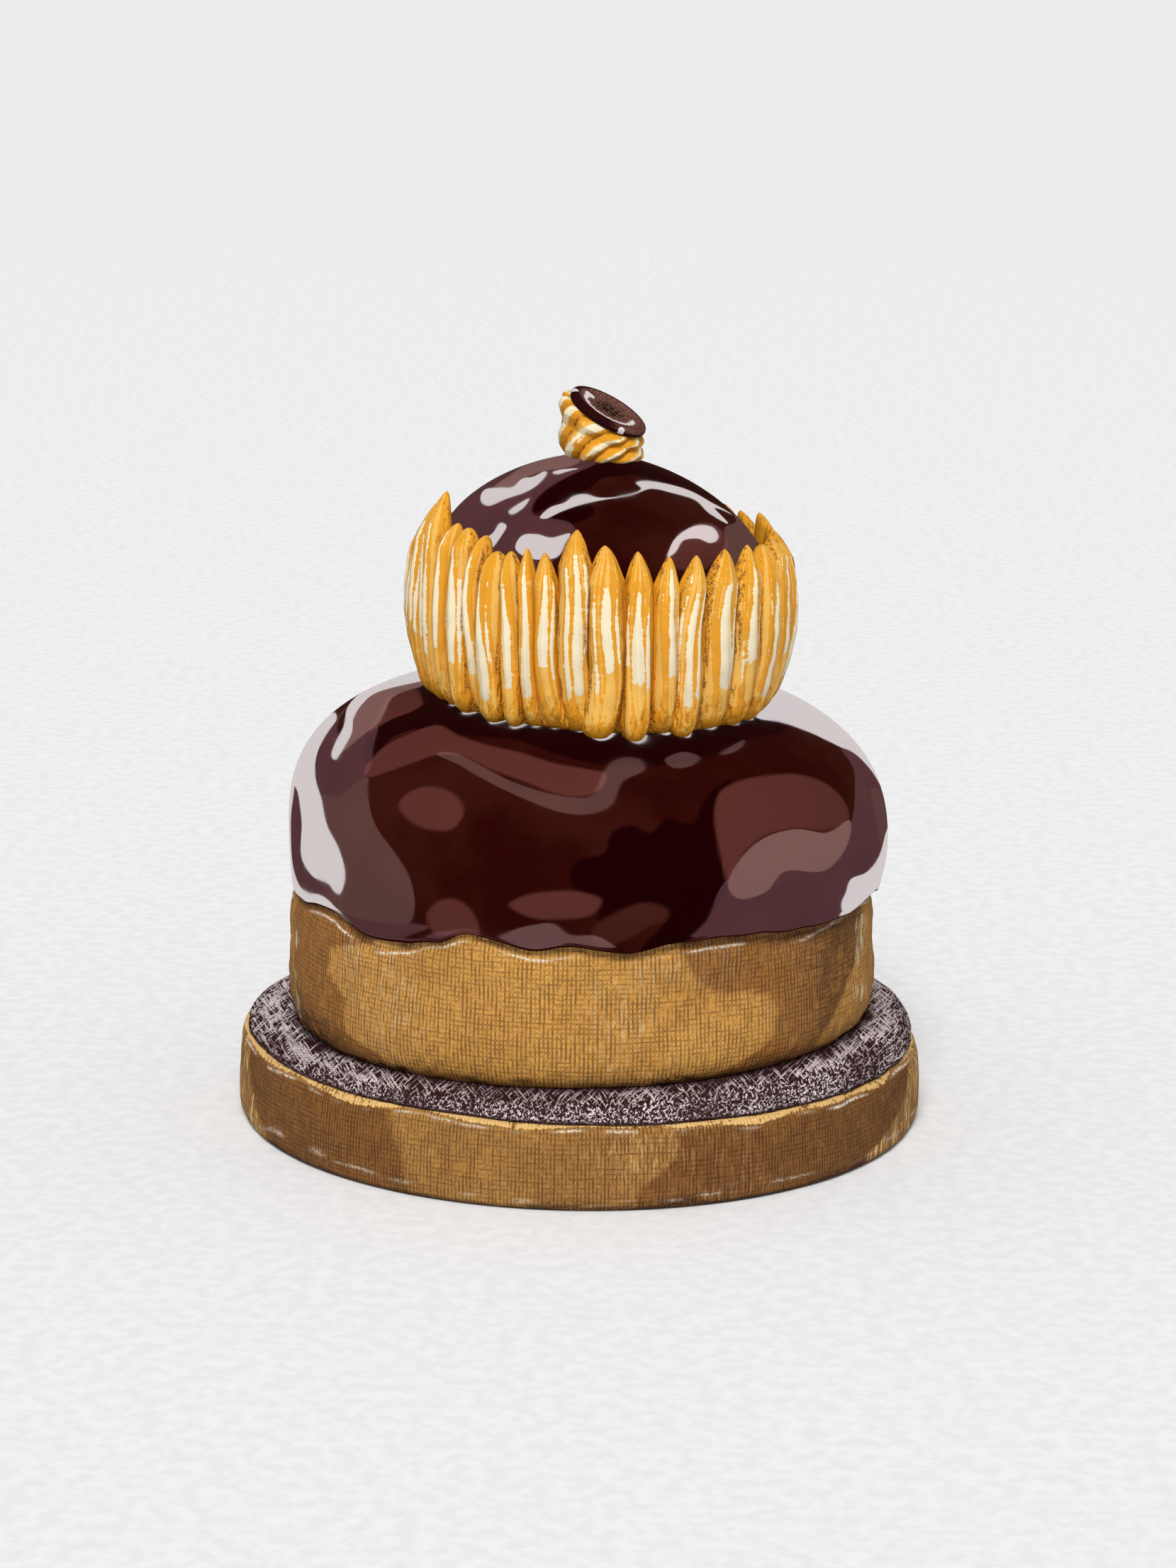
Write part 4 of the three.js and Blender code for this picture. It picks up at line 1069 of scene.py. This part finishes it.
def piped_stroke(index, place):
    """Rows of one piped stroke, with how far each point lies in a pale streak of painted highlight, a deep
    orange one of painted shade or the painted shade of the creases.
    """
    turn, tip_turn, foot_turn, tip, reach, width = place
    seed = STROKES["first_seed"] + index
    level = (np.linspace(0.06, 1, STROKES["rows"]) ** 1.15)[:, None]
    level = 0.04 + 0.96 * (level - level[0]) / (1 - level[0])
    level = np.concatenate([[[0.004], [0.015]], level])  # two more rows round off the foot
    level[-1] = 0.9985
    angle = np.linspace(-math.pi, math.pi, STROKES["around"], endpoint=False)
    angle = angle - 0.55 * np.sin(angle)  # more points on the outside, where angle is 0

    belly_level = STROKES["belly_level"]
    end = np.where(level > belly_level, tip_turn, foot_turn)
    length = np.where(level > belly_level, 1 - belly_level, belly_level)
    azimuth = np.radians(turn + (end - turn) * ((level - belly_level) / length) ** 2)
    middle = STROKES["belly"] - STROKES["bend"] * (level - belly_level) ** 2 + reach * (1 - level) ** 3
    middle = middle - 0.08 * max(tip - USUAL_TIP, 0) * level ** 6
    foot_radius = middle[0, 0] + STROKES["foot_outside"]
    foot_x = HEAD_AXIS_X + foot_radius * math.sin(azimuth[0, 0])
    foot = dome_surface(foot_x, -foot_radius * math.cos(azimuth[0, 0])) - 0.15

    root = quarter_round(level / 0.12)
    blunt = smoothstep(-abs(turn + 42), -18, -12) + smoothstep(-abs(turn - 68), -14, -10)
    flame = np.minimum(1, (1 - level) / lerp(0.17, 0.09, blunt)) ** lerp(0.6, 0.45, blunt)
    fullness = root * flame * (0.93 + 0.07 * np.sin(level * math.pi))
    drift = 0.3 * wobble(seed, 8) + 0.24 * np.sin(level * (4 + 2 * wobble(seed, 9)) + 3 * wobble(seed, 10))
    halves = [lerp(0.24, 0.38, scatter(index, 27)), lerp(0.06, 0.16, scatter(index, 28))]
    halves.append(lerp(-0.06, 0.12, scatter(index, 29)))
    if width < 2.7:
        halves = [0.34, -0.3, -0.3]
    centres = [drift, drift + 0.62 + 0.1 * wobble(seed, 25), drift - 0.66 + 0.1 * wobble(seed, 23)]
    bands = [np.abs(angle - centre) for centre in centres]
    ridge = sum(strength * bell(band, 0.3) for strength, band in zip((1, 0.7, 0.6), bands))
    outer = smoothstep(np.cos(angle), -0.2, 0.2)
    swell = 1 + outer * (0.17 * np.minimum(ridge, 1) - 0.12)
    lumps = np.sin(level * 40 + 6 * wobble(seed, 11)) * np.cos(2 * angle + wobble(seed, 12))
    swell = swell * (1 + lerp(0.02, 0.05, blunt * (level > 0.8)) * lumps)
    half_width = STROKES["overlap"] * width / 2
    sideways = np.sin(angle) * fullness * swell * half_width
    bending = 0.16 * np.sin(level * math.pi * 3 + 3 * wobble(seed, 18)) * wobble(seed, 19)
    sideways = sideways + bending * fullness
    sideways = sideways + 0.3 * wobble(seed, 13) * np.clip(level - 0.85, 0, 1) / 0.15
    outward = np.cos(angle) * fullness * swell * STROKES["half_depth"]
    outward = outward * np.where(np.cos(angle) < 0, 0.85, 1.0) + middle
    outward = outward + 0.2 * wobble(seed, 16) * smoothstep(level, 0.3, 0.6) * smoothstep(-level, -1.0, -0.6)
    height = lerp(foot, tip, level) + 0 * angle
    x = HEAD_AXIS_X + sideways * np.cos(azimuth) + outward * np.sin(azimuth)
    y = sideways * np.sin(azimuth) - outward * np.cos(azimuth)
    rows = np.stack([x, y, height], axis=-1)
    return rows, *stroke_marks(index, level, angle, halves, bands)


def cream_strokes(material):
    skins, fields = [], {"pale": [], "deep": [], "crease_shade": []}
    for index, place in enumerate(stroke_places()):
        rows, *stroke_fields = piped_stroke(index, place)
        skins.append(skin(rows))
        for key, values in zip(fields, stroke_fields):
            fields[key] += [values.ravel(), [values[0].mean(), values[-1].mean()]]
    fields = {key: np.concatenate(values) for key, values in fields.items()}
    make_piece("piped_strokes", joined(skins), material, "cream_head", fields)


def cream_core(material):
    """The body behind the strokes, seen only in the gaps between them."""
    azimuth = azimuths(160)
    foot = 19.6
    low = dome_surface(HEAD_AXIS_X + foot * np.sin(azimuth), -foot * np.cos(azimuth))
    corners = [
        (1.0, 52.5),
        (15.0, 51.6),
        (foot + 0.2, low - 0.1),
        (21.0, 56.5),
        (21.4, 61.5),
        (20.6, 65.5),
        (20.0, 66.4),
        (18.0, 66.4),
        (1.0, 67.0),
    ]
    radius, height = smooth_profile(corners, 6, azimuth)
    rows = turned(radius, height, azimuth)
    rows[..., 0] += HEAD_AXIS_X
    # All deep orange and brown: painted shade in the gaps.
    fields = dict(pale=-1.0, deep=1.0, crease_shade=0.9)
    make_turned_piece("cream_core", rows, material, "cream_head", "piped_cream", **fields)


def button_matrix():
    lean = Matrix.Rotation(math.radians(BUTTON["lean"]), 4, "Y")
    nod = Matrix.Rotation(math.radians(BUTTON["nod"]), 4, "X")
    return Matrix.Translation(Vector(BUTTON["centre"])) @ (lean @ nod)


def button_underside(x, y):
    """Height of the button's underside at a place."""
    placed = button_matrix()
    normal = placed.to_3x3() @ Vector((0, 0, 1))
    under = placed @ Vector((0, 0, -BUTTON["thickness"] / 2))
    return under.z - (normal.x * (x - under.x) + normal.y * (y - under.y)) / normal.z


def cream_tuft(material):
    """A short star-piped stub, twisted, whose top is pressed flat under the button."""
    azimuth = azimuths(320)
    level = np.linspace(0, 1, 52)[:, None]
    phase = azimuth * TUFT["ridges"] / 2 + 0.35 * np.sin(azimuth * 3 + 1)
    phase = phase + 0.25 * np.sin(azimuth * 2 + level * 5)
    ridge = np.abs(np.cos(phase)) ** 0.8 + 0 * level
    shape = np.interp(level, np.linspace(0, 1, len(TUFT_RADII)), TUFT_RADII)
    rounding = 0.86 + 0.14 * quarter_round(level / 0.1)
    rounding = rounding * (0.90 + 0.10 * quarter_round((1 - level) / 0.12))
    radius = shape * rounding + TUFT["ridge_depth"] * (1.5 * ridge - 1.05)
    rows = turned(radius, level + 0 * azimuth, azimuth)
    turn = TUFT["twist"] * level
    x = rows[..., 0] * np.cos(turn) - rows[..., 1] * np.sin(turn) + TUFT["axis_x"]
    y = rows[..., 0] * np.sin(turn) + rows[..., 1] * np.cos(turn)
    height = lerp(cap_surface(x, y) - 0.12, button_underside(x, y) + 0.05, level)
    rows = np.stack([x, y, height], axis=-1)
    # Painted highlights on the ridges, and painted shade in the grooves.
    second = np.sin(2 * phase + 0.5) - 0.95
    pale = np.maximum(2.6 * (ridge - 0.955), 1.2 * second) + 0.05 * np.sin(level * 7 + azimuth * 5)
    deep = 0.5 * (0.90 - ridge)
    crease_shade = 0.7 * smoothstep(-ridge, -0.36, -0.06)
    fields = dict(pale=pale, deep=deep, crease_shade=crease_shade)
    make_turned_piece("tuft_stub", rows, material, "cream_tuft", "piped_cream", **fields)


def chocolate_button(material):
    azimuth = azimuths(160)
    radius, thick = 0.985 * BUTTON["radius"], BUTTON["thickness"]
    corners = [
        (0.5, -thick / 2),
        (radius - 0.7, -thick / 2),
        (radius - 0.15, -thick * 0.33),
        (radius - 0.02, 0.0),
        (radius - 0.15, thick * 0.33),
        (radius - 0.6, thick * 0.49),
        (radius * 0.80, thick * 0.46),
        (radius * 0.74, thick * 0.36),
        (radius * 0.64, thick * 0.28),
        (radius * 0.3, thick * 0.25),
        (0.2, thick * 0.22),
    ]
    ring, height = smooth_profile(corners, 7, azimuth)
    face = height > 0
    dish = smoothstep(-ring, -radius * 0.86, -radius * 0.78) * face
    aside = np.cos(azimuth - math.radians(350))  # the ring's painted highlight lies on its near side
    painted_light_strength = bell(ring / radius - 0.62, 0.062) * smoothstep(aside, -0.5, -0.25) * face
    across, ahead = ring / radius * np.sin(azimuth), ring / radius * np.cos(azimuth)
    # Painted highlight spots.
    for spot_x, spot_y, size in ((-0.56, -0.26, 0.17), (0.45, 0.93, 0.11), (-0.95, 0.06, 0.13)):
        away = np.hypot(across - spot_x, ahead - spot_y)
        painted_light_strength = np.maximum(painted_light_strength, smoothstep(-away, -size, -0.6 * size) * (height > -thick * 0.3))
    # Browner on the right of the rim: a painted reflection.
    rosy = 0.8 * smoothstep(np.cos(azimuth - math.radians(75)), 0.3, 0.8) * (1 - dish)
    dish = dish + rosy * face
    spot = smoothstep(-ring, -radius * 0.48, -radius * 0.24) * face
    points, quads, triangles = skin(turned(ring, height, azimuth))
    placed = np.array(button_matrix())
    points = points @ placed[:3, :3].T + placed[:3, 3]
    fields = {"dish": dish, "spot": spot, "ring": painted_light_strength}
    fields = {key: np.append(values.ravel(), [0, values[-1].mean()]) for key, values in fields.items()}
    surface = (points, quads, triangles)
    make_piece("button_disc", surface, material, "chocolate_button", fields)


# ---------------------------------------------------------------- stage

def add_floor():
    """A plain pale floor with a faint paper grain, which the glazes don't mirror."""
    bpy.ops.mesh.primitive_plane_add(size=FLOOR_SIZE, location=(0, 0, 0))
    floor = bpy.context.object
    floor.name = "floor"
    nodes = Nodes("floor_paper")
    tint = nodes.mix(nodes.span(nodes.noise(500, 4), 0.35, 0.65), *FLOOR_GREYS)
    nodes.set(Base_Color=tint, Roughness=0.9, Specular_IOR_Level=0.1)
    floor.data.materials.append(nodes.material)
    floor.visible_glossy = False


def add_key_light():
    """One large soft light, which the glazes don't mirror."""
    lamp = bpy.data.lights.new("key", "SUN")
    lamp.energy = KEY_LIGHT["strength"]
    lamp.angle = KEY_LIGHT["spread"]
    key = bpy.data.objects.new("key", lamp)
    key.location = Vector(KEY_LIGHT["place"])
    key.rotation_euler = (-key.location).to_track_quat("-Z", "Y").to_euler()
    key.visible_camera = False
    key.visible_glossy = False
    bpy.context.scene.collection.objects.link(key)


def mirrored(surface, azimuth, elevation):
    """Points of a glaze, where the camera sees them mirror to, and how much light they mirror."""
    step, least_cosine = 1e-4, 0.02
    point = surface(azimuth, elevation)
    across = surface(azimuth + step, elevation) - point
    upward = surface(azimuth, elevation + step) - point
    normal = np.cross(across, upward)
    normal /= np.linalg.norm(normal, axis=-1, keepdims=True)
    view = point - np.array(CAMERA_PLACE)
    view /= np.linalg.norm(view, axis=-1, keepdims=True)
    cosine = np.maximum(-(view * normal).sum(axis=-1, keepdims=True), least_cosine)
    direction = view + 2 * cosine * normal
    bent = np.sqrt(GLAZE_IOR ** 2 - 1 + cosine ** 2)
    other = (cosine * (bent + cosine) - 1) / (cosine * (bent - cosine) + 1)
    fresnel = 0.5 * ((bent - cosine) / (bent + cosine)) ** 2 * (1 + other ** 2)
    head_on = ((GLAZE_IOR - 1) / (GLAZE_IOR + 1)) ** 2
    grazing = (fresnel - head_on) / (1 - head_on)
    tinted = head_on * np.array(GLAZE_TINT)
    return point, direction, tinted + (1 - tinted) * grazing


def tent_material():
    """Thin glowing cloth, which light also passes through."""
    nodes = Nodes("studio_tent")
    glow = nodes.add("ShaderNodeEmission")
    colour = nodes.add("ShaderNodeAttribute", attribute_name="glow").outputs["Color"]
    nodes.link(colour, glow.inputs["Color"])
    cloth = nodes.add("ShaderNodeAddShader")
    nodes.link(glow.outputs["Emission"], cloth.inputs[0])
    nodes.link(nodes.add("ShaderNodeBsdfTransparent").outputs["BSDF"], cloth.inputs[1])
    nodes.link(cloth.outputs["Shader"], nodes.tree.nodes["Material Output"].inputs["Surface"])
    nodes.material.cycles.emission_sampling = "NONE"
    return nodes.material


def window_panes(windows):
    """The windows cut into triangles: places in degrees, faces, and each face's tone by its number."""
    order = list(TONES)
    edges = []
    for tone, outlines in windows.items():
        edges += [(order.index(tone), rounded(outline)) for outline in outlines]
    every = np.concatenate([edge for _, edge in edges])
    firsts = np.cumsum([0] + [len(edge) for _, edge in edges])
    loops = [list(range(first, after)) for first, after in zip(firsts, firsts[1:])]
    spans = zip(every.min(0), every.max(0))
    grid = np.meshgrid(*[np.arange(low, high, TENT["pane_degrees"]) for low, high in spans])
    places = np.concatenate([every, np.stack(grid, axis=-1).reshape(-1, 2)])
    inside_only, tolerance = 1, 1e-5
    places = [Vector(place) for place in places]
    places, _, faces = delaunay_2d_cdt(places, [], loops, inside_only, tolerance)[:3]
    places = np.array([tuple(place) for place in places])
    faces = np.array(faces)
    middles = places[faces].mean(axis=1)
    tones = np.full(len(faces), len(order))
    for tone, edge in edges:
        held = depth_inside(edge, *middles.T) > 0
        tones[held] = np.minimum(tones[held], tone)
    glowing = tones < len(order)
    return places, faces[glowing], tones[glowing]


def add_tent(name, surface, glaze_piece, windows, material):
    """A light tent round the set, which only one glaze mirrors.

    Its windows are shaped so that their reflections fill their outlines as seen from the camera's place.
    """
    places, faces, tones = window_panes(windows)
    azimuth, elevation = np.radians(places).T
    point, direction, share = mirrored(surface, azimuth, elevation)
    drop = np.maximum(-direction[:, 2:], 1e-3)
    distance = np.minimum(TENT["distance"], (point[:, 2:] - TENT["lowest"]) / drop)
    mesh = bpy.data.meshes.new(name)
    mesh.from_pydata(((point + direction * distance) * MM).tolist(), [], faces.tolist())
    tint = np.array(list(TONES.values()))[np.repeat(tones, 3)] / share[faces.ravel()]
    layer = mesh.attributes.new("glow", "FLOAT_COLOR", "CORNER")
    layer.data.foreach_set("color", np.insert(tint, 3, 1, axis=1).ravel().astype(np.float32))
    mesh.materials.append(material)
    tent = bpy.data.objects.new(name, mesh)
    bpy.context.scene.collection.objects.link(tent)
    for rays in ("camera", "diffuse", "transmission", "volume_scatter", "shadow"):
        setattr(tent, "visible_" + rays, False)
    lit = bpy.data.collections.new(name + "_lights")
    lit.objects.link(glaze_piece)
    tent.light_linking.receiver_collection = lit


def foot_glints():
    """Outlines of the small bright crescents on the large glaze, at the lower right of each stroke's foot."""
    crescent = [(-0.3, -0.2), (0.2, -1.3), (0.9, -0.6), (1.5, 1.6), (1.2, 1.9), (0.5, 0.6)]
    outlines = []
    for index, (_, _, foot_turn, _, reach, width) in enumerate(FRONT_STROKES[3:18]):
        radius = STROKES["belly"] - STROKES["bend"] * STROKES["belly_level"] ** 2 + reach + GLINT_OUTSIDE
        x = HEAD_AXIS_X + radius * math.sin(math.radians(foot_turn))
        y = -radius * math.cos(math.radians(foot_turn))
        turn = math.degrees(math.atan2(x, -y))
        rise = math.degrees(math.atan2(dome_surface(x, y) - DOME_MIDDLE, math.hypot(x, y)))
        size = lerp(0.6, 1.15, scatter(index, 51))
        outlines.append([(turn + size * width * across, rise + size * up) for across, up in crescent])
    return outlines


def add_tents(dome, cap):
    material = tent_material()
    dome_windows = {**DOME_WINDOWS, "pale": foot_glints() + DOME_WINDOWS["pale"]}
    add_tent("dome_tent", dome_point, dome, dome_windows, material)
    add_tent("cap_tent", cap_point, cap, CAP_WINDOWS, material)


def add_world():
    """Pale surroundings, which give soft light and which the glazes mirror as a dim room."""
    world = bpy.data.worlds.new("studio")
    world.use_nodes = True
    bpy.context.scene.world = world
    tree = world.node_tree
    rays = tree.nodes.new("ShaderNodeLightPath")
    light = tree.nodes.new("ShaderNodeMix")
    seen = tree.nodes.new("ShaderNodeMix")
    first, second = MIX_COLOURS
    for mix, ray in ((light, "Is Glossy Ray"), (seen, "Is Camera Ray")):
        mix.data_type = "RGBA"
        tree.links.new(rays.outputs[ray], mix.inputs["Factor"])
    light.inputs[first].default_value = SOFT_LIGHT
    light.inputs[second].default_value = DIM_ROOM
    seen.inputs[second].default_value = BACKDROP
    tree.links.new(light.outputs[MIX_RESULT], seen.inputs[first])
    tree.links.new(seen.outputs[MIX_RESULT], tree.nodes["Background"].inputs["Color"])


def add_camera():
    """The photograph's view: a long lens a little above the pastry, rolled by under a degree."""
    place = Vector(CAMERA_PLACE) * MM
    target = Vector(CAMERA_TARGET) * MM
    data = bpy.data.cameras.new("camera")
    data.sensor_width = 36.0
    data.lens = CAMERA_LENS
    data.clip_start = 0.01
    data.clip_end = 100
    camera = bpy.data.objects.new("camera", data)
    camera.rotation_mode = "QUATERNION"
    aim = (target - place).to_track_quat("-Z", "Y")
    camera.rotation_quaternion = aim @ Quaternion((0, 0, 1), CAMERA_ROLL)
    camera.location = place
    bpy.context.scene.collection.objects.link(camera)
    bpy.context.scene.camera = camera


biscuit_base(crust_material("biscuit", **BISCUIT_CRUST))
chocolate_spread(spread_material())
large_choux(crust_material("choux_pastry", **CHOUX_CRUST))
glaze = glaze_material()
dome = large_glaze(glaze)
cap = small_glaze(glaze)
cream = cream_material()
cream_strokes(cream)
cream_core(cream)
cream_tuft(cream)
chocolate_button(button_material())
for piece in bpy.context.scene.objects:
    piece.visible_glossy = False  # the glazes mirror the tents and not the other pieces

add_floor()
add_key_light()
add_tents(dome, cap)
add_world()
add_camera()
bpy.context.scene.view_settings.view_transform = "Standard"
